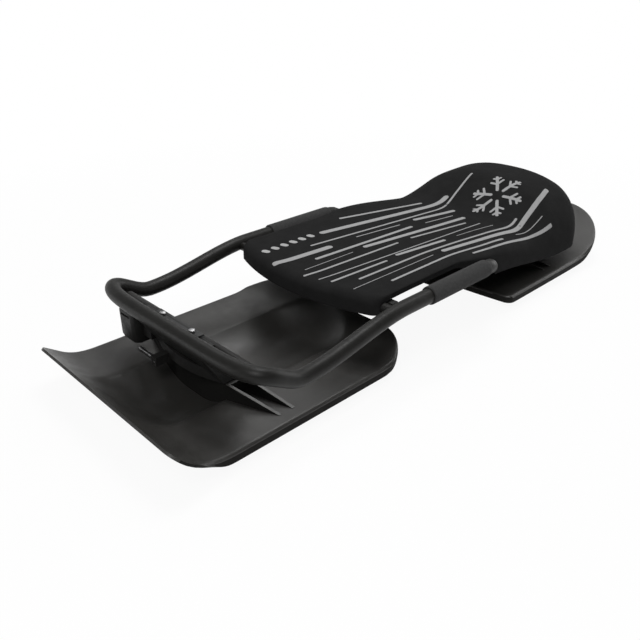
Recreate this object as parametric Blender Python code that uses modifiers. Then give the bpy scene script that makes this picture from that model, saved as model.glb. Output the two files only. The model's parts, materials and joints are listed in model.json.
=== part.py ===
"""Steering sled: two moulded skis, a bent tube frame, a foam seat and a swivelling front ski.

Metres, +Z up. The front points to -Y and the rider's left is +X. The origin lies on the snow,
under the middle of the sled's length and width.
"""
import math

import bmesh
import bpy
from mathutils import Matrix, Vector

# Overall layout along Y
LENGTH = 1.165
FRONT_END = -LENGTH / 2
REAR_END = LENGTH / 2
FRONT_MOUNT_Y = -0.4095
SKI_SPACING = 0.7175
REAR_MOUNT_Y = FRONT_MOUNT_Y + SKI_SPACING
TOUCH_GAP = 0.0003

# Widths that the frame, its grips and the seat share
SEAT_WAIST_HALF = 0.1635
HAND_GAP = 0.0142
GRIP_RADIUS = 0.0153

# Skis, measured from their mounts
SKI_HALF_WIDTH = 0.191
CUT_REACH = SKI_HALF_WIDTH + 0.009
SKI_WALL = 0.004
WING_TOP = 0.0315
LIP_DROP = 0.014
LIP_ROUND = 0.006
CHANNEL_FLOOR_HALF = 0.018
CHANNEL_HALF = 0.085
CHANNEL_FADE_START = 0.004
CHANNEL_FADE_END = 0.085
FRONT_CHANNEL_TAIL = 0.195
REAR_CHANNEL_TAIL = 0.110
FRONT_SKI_TAIL = 0.284
FRONT_NOSE = 0.0032
FRONT_CORNER = 0.024
FRONT_TAIL_CORNER = 0.070
FRONT_CURL_RUN = 0.100
FRONT_CURL_RISE = 0.0442
FRONT_CURL_POWER = 2.7
FRONT_TAIL_RUN = 0.080
FRONT_TAIL_RISE = 0.027
REAR_SKI_LEAD = 0.160
REAR_FRONT_BOW = 0.30
REAR_CORNER = 0.014
REAR_TAIL_CORNER = 0.125
REAR_RAMP_RUN = 0.1275
REAR_RAMP_SLOPE = 0.50
TAIL_LIP_SHARE = 0.35
RIM_DRAFT = 0.0010
SKI_COUNTS = (22, 18)

# Pedestal moulded on each ski
PEDESTAL_TOP = 0.0580
PEDESTAL_HALF_DEPTH = 0.0185
PEDESTAL_HALF_WIDTH = 0.087
RIB_SWEEP = 0.0255
RIB_REACH = 0.168
RIB_TIP_HALF = 0.015
RIB_TIP_Z = 0.0320
RIB_WALL = 0.005
HUB_RADIUS = 0.018
SWIVEL_RADIUS = 0.0130
HUB_TOP = 0.0560
NUT_POCKET_RADIUS = 0.0100
NUT_POCKET_TOP = 0.0150

# Frame tube
TUBE_RADIUS = 0.0125
RAIL_X = SEAT_WAIST_HALF + HAND_GAP + GRIP_RADIUS
RAIL_Z = 0.1265
FRONT_BAR_LEAD = 0.0510
FRONT_BAR_Y = FRONT_MOUNT_Y - FRONT_BAR_LEAD
FRONT_BEND_RUN = 0.0605
FRONT_BEND_Y = FRONT_BAR_Y + FRONT_BEND_RUN
FRONT_BEND_POWER = 5.0
REAR_BEND_POWER = 2.6
BAR_Z = 0.127
BAR_DROP_RUN = 0.0085
BAR_DROP_Y = FRONT_BAR_Y + BAR_DROP_RUN
DIP_Z = 0.097
DIP_RUN = 0.0855
DIP_Y = FRONT_BAR_Y + DIP_RUN
DIP_END_Y = -0.160
TUCK_START_Y = 0.060
TUCK_END_Y = 0.160
TUCK_DROP_END_Y = 0.105
REAR_RAIL_X = 0.118
REAR_RAIL_Z = 0.106
REAR_BAR_SET = 0.077
REAR_BAR_Y = REAR_MOUNT_Y + REAR_BAR_SET
REAR_BEND_RUN = 0.060
REAR_BEND_Y = REAR_BAR_Y - REAR_BEND_RUN

# Cross tubes
FRONT_CROSS_RADIUS = 0.0085
FRONT_CROSS_SET = 0.0275
FRONT_CROSS_Y = FRONT_BAR_Y + FRONT_CROSS_SET
FRONT_CROSS_Z = 0.1153
MID_CROSS_RADIUS = 0.008
MID_CROSS_Y = -0.1800
MID_CROSS_Z = 0.1225
REAR_CROSS_RADIUS = 0.009
REAR_CROSS_SET = 0.018
REAR_CROSS_Y = REAR_MOUNT_Y - REAR_CROSS_SET

# Steering head
HEAD_HALF_WIDTH = 0.085
HEAD_BOTTOM = 0.0595
HEAD_REAR_REACH = 0.0210
HEAD_REAR_Y = FRONT_MOUNT_Y + HEAD_REAR_REACH
HEAD_FRONT_REACH = 0.0205
HEAD_FRONT_Y = FRONT_MOUNT_Y - HEAD_FRONT_REACH
HEAD_BOW = 0.0175
CHIN_HEIGHT = 0.018
CHIN_LEAN = 0.013
HEAD_RIB_TOP = 0.1285
KINGPIN_RADIUS = 0.005
BOLT_HEAD_RADIUS = 0.0085
BOLT_HEAD_HEIGHT = 0.0064
BUSH_RADIUS = 0.008
WASHER_RADIUS = 0.0105
WASHER_THICKNESS = 0.0016
NUT_HEIGHT = 0.008
SPOT_FACE_Z = 0.0735
STOP_PIN_RADIUS = 0.003
STOP_PIN_REACH = 0.0300
STOP_BOSS_RADIUS = 0.0065
STOP_PIN_TOP = 0.0670
STOP_SLOT_TOP = 0.0690
STEER_LIMIT = math.radians(12)

# Tow anchor at the right end of the head, with its gate
LOBE_OUTER_X = -0.153
LOBE_INNER_X = -0.103
LOBE_DEPTH = 0.0350
LOBE_FRONT_Y = FRONT_BAR_Y + 0.0005
LOBE_REAR_Y = LOBE_FRONT_Y + LOBE_DEPTH
LOBE_BOTTOM = 0.0530
LOBE_TOP = 0.1130
LOBE_ROUND = 0.010
LOBE_SLOT_Z = 0.0985
LOBE_SLOT_HEIGHT = 0.0038
LOBE_SLOT_WIDTH = 0.026
LOBE_SLOT_DEPTH = 0.012
GATE_PIN_X = -0.038
GATE_TIP_X = -0.088
GATE_LEAD = 0.0150
GATE_Y = HEAD_FRONT_Y - HEAD_BOW - GATE_LEAD
GATE_Z = 0.0585
GATE_THICKNESS = 0.006
GATE_HEIGHT = 0.008
GATE_PIN_RADIUS = 0.0020
FORK_WALL = 0.003

# Screws, and the plate under the head's screws
SCREW_X = 0.0373
SCREW_SET = 0.0162
SCREW_Y = FRONT_BAR_Y + SCREW_SET
SCREW_RADIUS = 0.0020
SCREW_HEAD_RADIUS = 0.0046
SCREW_HEAD_HEIGHT = 0.0030
HEAD_PLATE_THICKNESS = 0.0025

# Rear bracket and clamp
REAR_BOLT_X = 0.055
REAR_HUB_RADIUS = 0.0155
REAR_BRACKET_HALF = 0.078
REAR_BRACKET_BOTTOM = PEDESTAL_TOP + TOUCH_GAP
REAR_FLANGE_TOP = 0.0700
CLAMP_SCREW_X = 0.020
CLAMP_SCREW_SET = 0.030
CLAMP_SCREW_Y = REAR_MOUNT_Y + CLAMP_SCREW_SET
CLAMP_LOW = REAR_RAIL_Z + TUBE_RADIUS + TOUCH_GAP
CLAMP_HIGH = CLAMP_LOW + 0.003

# Grips
GRIP_FRONT_Y = -0.1055
GRIP_REAR_Y = 0.0460

# Seat
SEAT_TOP = 0.1424
SEAT_FRONT_Y = -0.2317
SEAT_FRONT_ARC = 1.35
SEAT_REAR_Y = 0.461
SEAT_HIP_SPREAD = 0.0175
SEAT_HIP_HALF = SEAT_WAIST_HALF + SEAT_HIP_SPREAD
SEAT_HIP_START_Y = 0.000
SEAT_HIP_END_Y = 0.078
SEAT_RAMP_START_Y = 0.246
SEAT_RAMP_END_Y = 0.3315
SEAT_RAMP_SLOPE = 0.615
SEAT_TAIL_CROWDING = 0.35
SEAT_TAIL_RUN = 0.064
SEAT_TAIL_POWER = 4.2
SEAT_FLATNESS = 12.0
SEAT_DOME = 2.37
SEAT_DOME_START_Y = 0.069
SEAT_DOME_END_Y = 0.324
SEAT_KNEE = 0.018
SEAT_EDGE_ROUND = 0.016
SEAT_FRONT_CORNER = 0.012
SEAT_REAR_CORNER = 0.075
APRON_BOTTOM = 0.112
WAIST_EDGE_DEPTH = 0.0115
SKIRT_START_Y = 0.000
SKIRT_FULL_Y = 0.095
SKIRT_FRONT_BOTTOM = 0.0935
SKIRT_REAR_BOTTOM = 0.0645
SEAT_COUNTS = (16, 22)
PAD_THICKNESS = 0.007
SHELL_THICKNESS = 0.0025
SKIN_GAP = 0.0006
RAIL_ARCH_RADIUS = 0.0150
POST_SET = 0.054
POST_Y = REAR_MOUNT_Y + POST_SET
POST_HALF_WIDTH = 0.010
POST_SCREW_TOP = 0.150
POST_SCREW_POCKET = 0.0062
CLIP_X = 0.118
CLIP_HALF = 0.009


def smooth(value, low, high):
    """Ease from 0 at low to 1 at high."""
    q = min(1.0, max(0.0, (value - low) / (high - low)))
    return q * q * (3 - 2 * q)


def soft_ramp(value, start, knee):
    """Zero before start and a unit slope after it, with a rounded knee."""
    q = value - start
    return (q + math.hypot(q, knee)) / 2


def fillet(x, half_width, radius):
    """How far a rounded corner pulls an end edge back at x."""
    over = max(0.0, min(radius, abs(x) - (half_width - radius)))
    return radius - math.sqrt(radius * radius - over * over)


def clear_scene():
    for item in list(bpy.data.objects):
        bpy.data.objects.remove(item, do_unlink=True)


clear_scene()
PARTS = bpy.data.collections.new("steering_sled")
CUTTERS = bpy.data.collections.new("cutters")
bpy.context.scene.collection.children.link(PARTS)
bpy.context.scene.collection.children.link(CUTTERS)


def material(name, colour, roughness, metallic=0.0):
    made = bpy.data.materials.new(name)
    made.use_nodes = True
    shader = made.node_tree.nodes["Principled BSDF"]
    shader.inputs["Base Color"].default_value = (*colour, 1.0)
    shader.inputs["Roughness"].default_value = roughness
    shader.inputs["Metallic"].default_value = metallic
    return made


def finish(piece, colour, roughness, metallic=0.0, angle=35):
    """Give a piece its own material and shade its round faces smooth."""
    piece.data.materials.append(material(piece.name + "_finish", colour, roughness, metallic))
    if piece.type == "MESH":
        piece.data.shade_smooth()
        piece.data.set_sharp_from_angle(angle=math.radians(angle))
    return piece


def from_bmesh(name, shape, collection):
    mesh = bpy.data.meshes.new(name)
    shape.to_mesh(mesh)
    shape.free()
    piece = bpy.data.objects.new(name, mesh)
    collection.objects.link(piece)
    if collection == CUTTERS:
        hide_cutter(piece)
    return piece


def pivot(piece, point):
    """Put a piece's origin on its joint axis and leave the piece where it is."""
    offset = Matrix.Translation(point)
    piece.data.transform(offset.inverted())
    piece.matrix_world = offset @ piece.matrix_world
    return piece


def hide_cutter(piece):
    piece.hide_render = True
    piece.display_type = "WIRE"


def cylinder(name, start, end, radius, collection=PARTS, sides=24):
    """A round bar between two points."""
    start, end = Vector(start), Vector(end)
    turn = (end - start).to_track_quat("Z", "Y").to_matrix().to_4x4()
    shape = bmesh.new()
    bmesh.ops.create_cone(
        shape, cap_ends=True, segments=sides, radius1=radius, radius2=radius,
        depth=(end - start).length, matrix=Matrix.Translation((start + end) / 2) @ turn)
    return from_bmesh(name, shape, collection)


def box(name, low, high, collection=PARTS, edge=0.0):
    """A block between two corners, with its edges rounded where an edge radius is given."""
    low, high = Vector(low), Vector(high)
    size = Matrix.Diagonal((*(high - low), 1.0))
    shape = bmesh.new()
    bmesh.ops.create_cube(shape, size=1.0, matrix=Matrix.Translation((low + high) / 2) @ size)
    piece = from_bmesh(name, shape, collection)
    if edge:
        round_edges(piece, edge)
    return piece


def round_edges(piece, width, segments=2):
    bevel = piece.modifiers.new("rounded edges", "BEVEL")
    bevel.width = width
    bevel.segments = segments
    bevel.limit_method = "ANGLE"
    bevel.angle_limit = math.radians(40)


def mesh_from_curve(piece, collection):
    """Turn a curve object into a closed mesh in the same place."""
    bpy.context.view_layer.update()
    evaluated = piece.evaluated_get(bpy.context.evaluated_depsgraph_get())
    mesh = bpy.data.meshes.new_from_object(evaluated)
    shape = bmesh.new()
    shape.from_mesh(mesh)
    bmesh.ops.remove_doubles(shape, verts=shape.verts, dist=0.00001)
    bmesh.ops.recalc_face_normals(shape, faces=shape.faces)
    name, place = piece.name, piece.matrix_world.copy()
    bpy.data.objects.remove(piece, do_unlink=True)
    made = from_bmesh(name, shape, collection)
    made.matrix_world = place
    return made


PLANES = {
    "plan": Matrix.Identity(4),
    "side": Matrix(((0, 0, 1, 0), (1, 0, 0, 0), (0, 1, 0, 0), (0, 0, 0, 1))),
    "front": Matrix(((1, 0, 0, 0), (0, 0, -1, 0), (0, 1, 0, 0), (0, 0, 0, 1))),
}


def plate(name, outlines, plane, low, high, collection=PARTS):
    """A flat outline, with holes where outlines lie inside another, extruded from low to high.

    Plan outlines are x, y and rise along Z. Side outlines are y, z and run along X. Front
    outlines are x, z and run along -Y.
    """
    curve = bpy.data.curves.new(name, "CURVE")
    curve.dimensions = "2D"
    curve.fill_mode = "BOTH"
    curve.extrude = (high - low) / 2
    for outline in outlines:
        spline = curve.splines.new("POLY")
        spline.points.add(len(outline) - 1)
        for point, (u, v) in zip(spline.points, outline):
            point.co = (u, v, 0, 1)
        spline.use_cyclic_u = True
    piece = bpy.data.objects.new(name, curve)
    collection.objects.link(piece)
    piece.matrix_world = PLANES[plane] @ Matrix.Translation((0, 0, (low + high) / 2))
    return mesh_from_curve(piece, collection)


def tube(name, points, radius, cyclic=False, resolution=4, collection=PARTS):
    """A round tube along points, as a curve with filled caps."""
    curve = bpy.data.curves.new(name, "CURVE")
    curve.dimensions = "3D"
    curve.bevel_depth = radius
    curve.bevel_resolution = resolution
    curve.use_fill_caps = not cyclic
    spline = curve.splines.new("POLY")
    spline.points.add(len(points) - 1)
    for point, place in zip(spline.points, points):
        point.co = (*place, 1)
    spline.use_cyclic_u = cyclic
    piece = bpy.data.objects.new(name, curve)
    collection.objects.link(piece)
    if collection == CUTTERS:
        return mesh_from_curve(piece, collection)
    return piece


def combine(target, other, operation):
    """Cut, join or intersect a piece with another by a Boolean modifier."""
    modifier = target.modifiers.new(operation.lower() + " " + other.name, "BOOLEAN")
    modifier.operation = operation
    modifier.object = other
    return target


def cut(target, *others):
    for other in others:
        combine(target, other, "DIFFERENCE")
    return target


def join(target, *others):
    for other in others:
        combine(target, other, "UNION")
    return target


def turned(name, profile, centre, axis="Z", sides=24, collection=PARTS):
    """A closed profile of radius and height, turned about an axis by a Screw modifier."""
    shape = bmesh.new()
    rows = [shape.verts.new((radius, 0, height)) for radius, height in profile]
    for here, there in zip(rows, rows[1:] + rows[:1]):
        shape.edges.new((here, there))
    piece = from_bmesh(name, shape, collection)
    screw = piece.modifiers.new("turn", "SCREW")
    screw.steps = sides
    screw.render_steps = sides
    screw.use_merge_vertices = True
    screw.merge_threshold = 0.00001
    turn = Matrix.Rotation(-math.pi / 2, 4, "X") if axis == "Y" else Matrix.Identity(4)
    piece.matrix_world = Matrix.Translation(centre) @ turn
    return piece


def ring(name, centre, outer, inner, low, high, sides=24, collection=PARTS):
    """A flat ring about a vertical axis. The flats of its hole touch the inner radius."""
    inner /= math.cos(math.pi / sides)
    profile = [(outer, high), (outer, low), (inner, low), (inner, high)]
    return turned(name, profile, (centre[0], centre[1], 0), sides=sides, collection=collection)


def spread(index, count, insets, half):
    """Grid step to a share of the half size, with the first steps at the given insets."""
    edge = min(index, count - index)
    side = -1 if index < count / 2 else 1
    if edge < len(insets):
        return side * (1 - insets[edge] / half)
    first = len(insets) - 1
    return (1 - insets[-1] / half) * (2 * (index - first) / (count - 2 * first) - 1)


def add_sheet(shape, size, counts, insets, place):
    """Add a surface made from a grid. place(s, t, edge step) gives the point of each corner."""
    columns, rows = counts
    made = bmesh.ops.create_grid(shape, x_segments=columns, y_segments=rows, size=1.0)["verts"]
    for vertex in made:
        i = round((vertex.co.x + 1) / 2 * columns)
        j = round((vertex.co.y + 1) / 2 * rows)
        edge = min(i, columns - i, j, rows - j)
        s = spread(i, columns, insets, size[0])
        t = spread(j, rows, insets, size[1])
        vertex.co = place(s, t, edge)


def sheet(name, size, counts, insets, place, collection=PARTS):
    """An open surface that faces up."""
    shape = bmesh.new()
    add_sheet(shape, size, counts, insets, place)
    bmesh.ops.recalc_face_normals(shape, faces=shape.faces)
    if sum(face.normal.z for face in shape.faces) < 0:
        bmesh.ops.reverse_faces(shape, faces=shape.faces)
    return from_bmesh(name, shape, collection)


def layer(name, size, counts, insets, outer, inner, collection=PARTS):
    """A closed skin between an outer surface and an inner one, joined round their edges."""
    shape = bmesh.new()
    add_sheet(shape, size, counts, insets, outer)
    add_sheet(shape, size, counts, insets, inner)
    rims = [edge for edge in shape.edges if edge.is_boundary]
    bmesh.ops.bridge_loops(shape, edges=rims)
    bmesh.ops.recalc_face_normals(shape, faces=shape.faces)
    return from_bmesh(name, shape, collection)


def thicken(piece, thickness):
    solidify = piece.modifiers.new("wall", "SOLIDIFY")
    solidify.thickness = thickness
    solidify.offset = -1.0
    solidify.use_even_offset = True
    return piece


def rim_drop(edge, depth, radius):
    """Height lost at each grid step from the edge of a rounded, turned-down rim."""
    radius = min(radius, 0.75 * depth)
    bend = 1 - math.sqrt(0.5)
    return [depth, radius, bend * radius, 0.0][min(edge, 3)]


def rim_insets(draft, radius):
    """Inset of each grid step from the edge, for a rounded rim with a little draft."""
    return [0.0, draft, draft + (1 - math.sqrt(0.5)) * radius, draft + radius]


def channel(x, y, end):
    """Depth share of the ski's central channel: 1 on its flat floor, 0 on the wings."""
    away = max(0.0, math.hypot(x, max(0.0, y - end)) - CHANNEL_FLOOR_HALF)
    return max(0.0, 1 - (away / (CHANNEL_HALF - CHANNEL_FLOOR_HALF)) ** 2)


def front_ski_top(x, y):
    floor = channel(x, y, FRONT_MOUNT_Y + FRONT_CHANNEL_TAIL)
    floor *= smooth(y, FRONT_END + CHANNEL_FADE_START, FRONT_END + CHANNEL_FADE_END)
    curl = max(0.0, (FRONT_END + FRONT_CURL_RUN - y) / FRONT_CURL_RUN)
    tail_start = FRONT_MOUNT_Y + FRONT_SKI_TAIL - FRONT_TAIL_RUN
    tail = max(0.0, (y - tail_start) / FRONT_TAIL_RUN)
    rise = FRONT_CURL_RISE * curl ** FRONT_CURL_POWER + FRONT_TAIL_RISE * tail ** 2
    return WING_TOP - (WING_TOP - SKI_WALL) * floor + rise


def rear_ski_top(x, y):
    floor = channel(x, y, REAR_MOUNT_Y + REAR_CHANNEL_TAIL)
    start = REAR_END - REAR_RAMP_RUN
    ramp = soft_ramp(y, start, 0.02) - soft_ramp(REAR_MOUNT_Y, start, 0.02)
    return WING_TOP - (WING_TOP - SKI_WALL) * floor + REAR_RAMP_SLOPE * max(0.0, ramp)


def front_ski_plan(s, t):
    x = s * SKI_HALF_WIDTH
    low = FRONT_END + FRONT_NOSE + fillet(x, SKI_HALF_WIDTH, FRONT_CORNER)
    high = FRONT_MOUNT_Y + FRONT_SKI_TAIL - fillet(x, SKI_HALF_WIDTH, FRONT_TAIL_CORNER)
    return x, low + (high - low) * (t + 1) / 2


def rear_ski_plan(s, t):
    x = s * SKI_HALF_WIDTH
    low = REAR_MOUNT_Y - REAR_SKI_LEAD + REAR_FRONT_BOW * x * x
    low += fillet(x, SKI_HALF_WIDTH, REAR_CORNER)
    high = REAR_END - fillet(x, SKI_HALF_WIDTH, REAR_TAIL_CORNER)
    return x, low + (high - low) * (t + 1) / 2


def front_lip(y):
    near_curl = smooth(y, FRONT_END + 0.028, FRONT_END + 0.083)
    tail_y = FRONT_MOUNT_Y + FRONT_SKI_TAIL
    return near_curl * (1 - (1 - TAIL_LIP_SHARE) * smooth(y, tail_y - 0.055, tail_y - 0.015))


def rear_lip(y):
    return 1 - (1 - TAIL_LIP_SHARE) * smooth(y, REAR_END - 0.150, REAR_END - 0.080)


def ski_surface(name, plan, top, lip, length, collection=PARTS, sink=0.0):
    def place(s, t, edge):
        x, y = plan(s, t)
        z = top(x, y)
        depth = min(LIP_DROP * lip(y), z - SKI_WALL)
        return x, y, z - sink - rim_drop(edge, depth, LIP_ROUND)
    insets = rim_insets(RIM_DRAFT, LIP_ROUND)
    return sheet(name, (SKI_HALF_WIDTH, length / 2), SKI_COUNTS, insets, place, collection)


def close_to(surface, level):
    """Make a solid of all that lies between a surface and a level."""
    shape = bmesh.new()
    shape.from_mesh(surface.data)
    made = bmesh.ops.extrude_face_region(shape, geom=shape.faces[:])
    for item in made["geom"]:
        if isinstance(item, bmesh.types.BMVert):
            item.co.z = level
    bmesh.ops.recalc_face_normals(shape, faces=shape.faces)
    shape.to_mesh(surface.data)
    shape.free()
    return surface


def ski_core(name, plan, top, lip, length):
    """Everything below the middle of the ski's wall, to trim the pedestal with."""
    surface = ski_surface(name, plan, top, lip, length, CUTTERS, sink=SKI_WALL / 2)
    return close_to(surface, -0.05)


def pedestal_outline():
    """Plan of the pedestal around its mount: a middle box with a swept-back arm on each side."""
    depth, tip = PEDESTAL_HALF_DEPTH, RIB_TIP_HALF
    left = [(PEDESTAL_HALF_WIDTH, -depth), (RIB_REACH, RIB_SWEEP - tip),
            (RIB_REACH, RIB_SWEEP + tip), (PEDESTAL_HALF_WIDTH, depth)]
    return left + [(-x, y) for x, y in reversed(left)]


def pedestal_pockets():
    """The middle pocket and the two between the arms' ribs, outside the cross walls."""
    depth = PEDESTAL_HALF_DEPTH - RIB_WALL
    tip = RIB_TIP_HALF - RIB_WALL
    inner = PEDESTAL_HALF_WIDTH - RIB_WALL / 2
    outer = PEDESTAL_HALF_WIDTH + RIB_WALL / 2
    end = RIB_REACH + 0.001
    start = RIB_SWEEP * (outer - PEDESTAL_HALF_WIDTH) / (RIB_REACH - PEDESTAL_HALF_WIDTH)
    pockets = [[(-inner, -depth), (inner, -depth), (inner, depth), (-inner, depth)]]
    for side in (1, -1):
        pockets.append([(side * outer, start - depth), (side * outer, start + depth),
                        (side * end, RIB_SWEEP + tip), (side * end, RIB_SWEEP - tip)])
    return pockets


def pedestal(name, mount_y, hubs, core):
    """Ribs, cross walls and hubs that stand on the ski's surface."""
    def placed(outline):
        return [[(x, y + mount_y) for x, y in outline]]
    body = plate(name, placed(pedestal_outline()), "plan", 0.0, 0.07, CUTTERS)
    for number, pocket in enumerate(pedestal_pockets()):
        hollow = plate(f"{name}_pocket_{number}", placed(pocket), "plan", -0.01, 0.08, CUTTERS)
        cut(body, hollow)
    slope = [(PEDESTAL_HALF_WIDTH, PEDESTAL_TOP), (RIB_REACH, RIB_TIP_Z), (0.25, RIB_TIP_Z)]
    top = slope + [(0.25, 0.1), (-0.25, 0.1)] + [(-x, z) for x, z in reversed(slope)]
    cut(body, plate(name + "_top", [top], "front", -1.0, 1.0, CUTTERS))
    web = box(name + "_web", (-PEDESTAL_HALF_WIDTH, mount_y - RIB_WALL / 2, 0.001),
              (PEDESTAL_HALF_WIDTH, mount_y + RIB_WALL / 2, HUB_TOP - 0.004), CUTTERS)
    join(body, web)
    for number, (x, radius) in enumerate(hubs):
        hub = cylinder(f"{name}_hub_{number}", (x, mount_y, 0.001), (x, mount_y, HUB_TOP), radius,
                       CUTTERS)
        join(body, hub)
    return cut(body, core)


def make_ski(name, surfaces, mount_y, hubs, bolts, colour):
    piece = thicken(ski_surface(name, *surfaces), SKI_WALL)
    core = ski_core(name + "_core", *surfaces)
    join(piece, pedestal(name + "_pedestal", mount_y, hubs, core))
    for number, x in enumerate(bolts):
        pocket = cylinder(f"{name}_nut_pocket_{number}", (x, mount_y, -0.01),
                          (x, mount_y, NUT_POCKET_TOP), NUT_POCKET_RADIUS, CUTTERS)
        bore = cylinder(f"{name}_bore_{number}", (x, mount_y, 0.0), (x, mount_y, 0.08),
                        KINGPIN_RADIUS + TOUCH_GAP, CUTTERS)
        cut(piece, pocket, bore)
    return finish(piece, colour, 0.48)


def rail_height(y):
    """Height of the frame tube's axis along the sled."""
    if y < DIP_Y:
        return BAR_Z + (DIP_Z - BAR_Z) * smooth(y, BAR_DROP_Y, DIP_Y)
    if y < TUCK_START_Y:
        return DIP_Z + (RAIL_Z - DIP_Z) * smooth(y, DIP_Y, DIP_END_Y)
    return RAIL_Z + (REAR_RAIL_Z - RAIL_Z) * smooth(y, TUCK_START_Y, TUCK_DROP_END_Y)


def rail_offset(y):
    """Half distance between the two rails along the sled."""
    if y < FRONT_BEND_Y:
        depth = (FRONT_BEND_Y - y) / (FRONT_BEND_Y - FRONT_BAR_Y)
        return RAIL_X * max(0.0, 1 - depth ** FRONT_BEND_POWER) ** (1 / FRONT_BEND_POWER)
    return RAIL_X + (REAR_RAIL_X - RAIL_X) * smooth(y, TUCK_START_Y, TUCK_END_Y)


def frame_half():
    """Points of the left half of the loop, from the middle of the front bar to the rear bar."""
    points = []
    steps = 16
    for step in range(steps):
        angle = math.pi / 2 * step / steps
        reach = math.sin(angle) ** (2 / FRONT_BEND_POWER)
        depth = math.cos(angle) ** (2 / FRONT_BEND_POWER)
        y = FRONT_BEND_Y + (FRONT_BAR_Y - FRONT_BEND_Y) * depth
        points.append((RAIL_X * reach, y, rail_height(y)))
    straight = [FRONT_BEND_Y, -0.385, DIP_Y, -0.35, -0.32, -0.29, -0.26, -0.23, -0.20,
                DIP_END_Y, -0.06, TUCK_START_Y]
    tuck = [TUCK_START_Y + (TUCK_END_Y - TUCK_START_Y) * k / 8 for k in range(1, 9)]
    points += [(rail_offset(y), y, rail_height(y)) for y in straight + tuck]
    steps = 8
    for step in range(steps + 1):
        angle = math.pi / 2 * step / steps
        reach = math.cos(angle) ** (2 / REAR_BEND_POWER)
        depth = max(0.0, math.sin(angle)) ** (2 / REAR_BEND_POWER)
        y = REAR_BEND_Y + (REAR_BAR_Y - REAR_BEND_Y) * depth
        points.append((REAR_RAIL_X * reach if step < steps else 0.0, y, REAR_RAIL_Z))
    return points


def frame_loop():
    left = frame_half()
    right = [(-x, y, z) for x, y, z in reversed(left[1:-1])]
    return left + right


def make_frame():
    frame = tube("frame_tube", frame_loop(), TUBE_RADIUS, cyclic=True)
    finish(frame, (0.035, 0.035, 0.033), 0.35, 0.75)
    clearance = tube("frame_clearance", frame_loop(), TUBE_RADIUS + TOUCH_GAP, cyclic=True,
                     collection=CUTTERS)
    spans = (
        ("front_cross_tube", FRONT_CROSS_RADIUS, FRONT_CROSS_Y, FRONT_CROSS_Z, 0.156),
        ("mid_cross_tube", MID_CROSS_RADIUS, MID_CROSS_Y, MID_CROSS_Z, RAIL_X),
        ("rear_cross_tube", REAR_CROSS_RADIUS, REAR_CROSS_Y, REAR_RAIL_Z, REAR_RAIL_X),
    )
    for name, radius, y, z, reach in spans:
        bar = cylinder(name, (-reach, y, z), (reach, y, z), radius, sides=16)
        cut(bar, clearance)
        finish(bar, (0.04, 0.04, 0.038), 0.36, 0.75)
    return clearance


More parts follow.
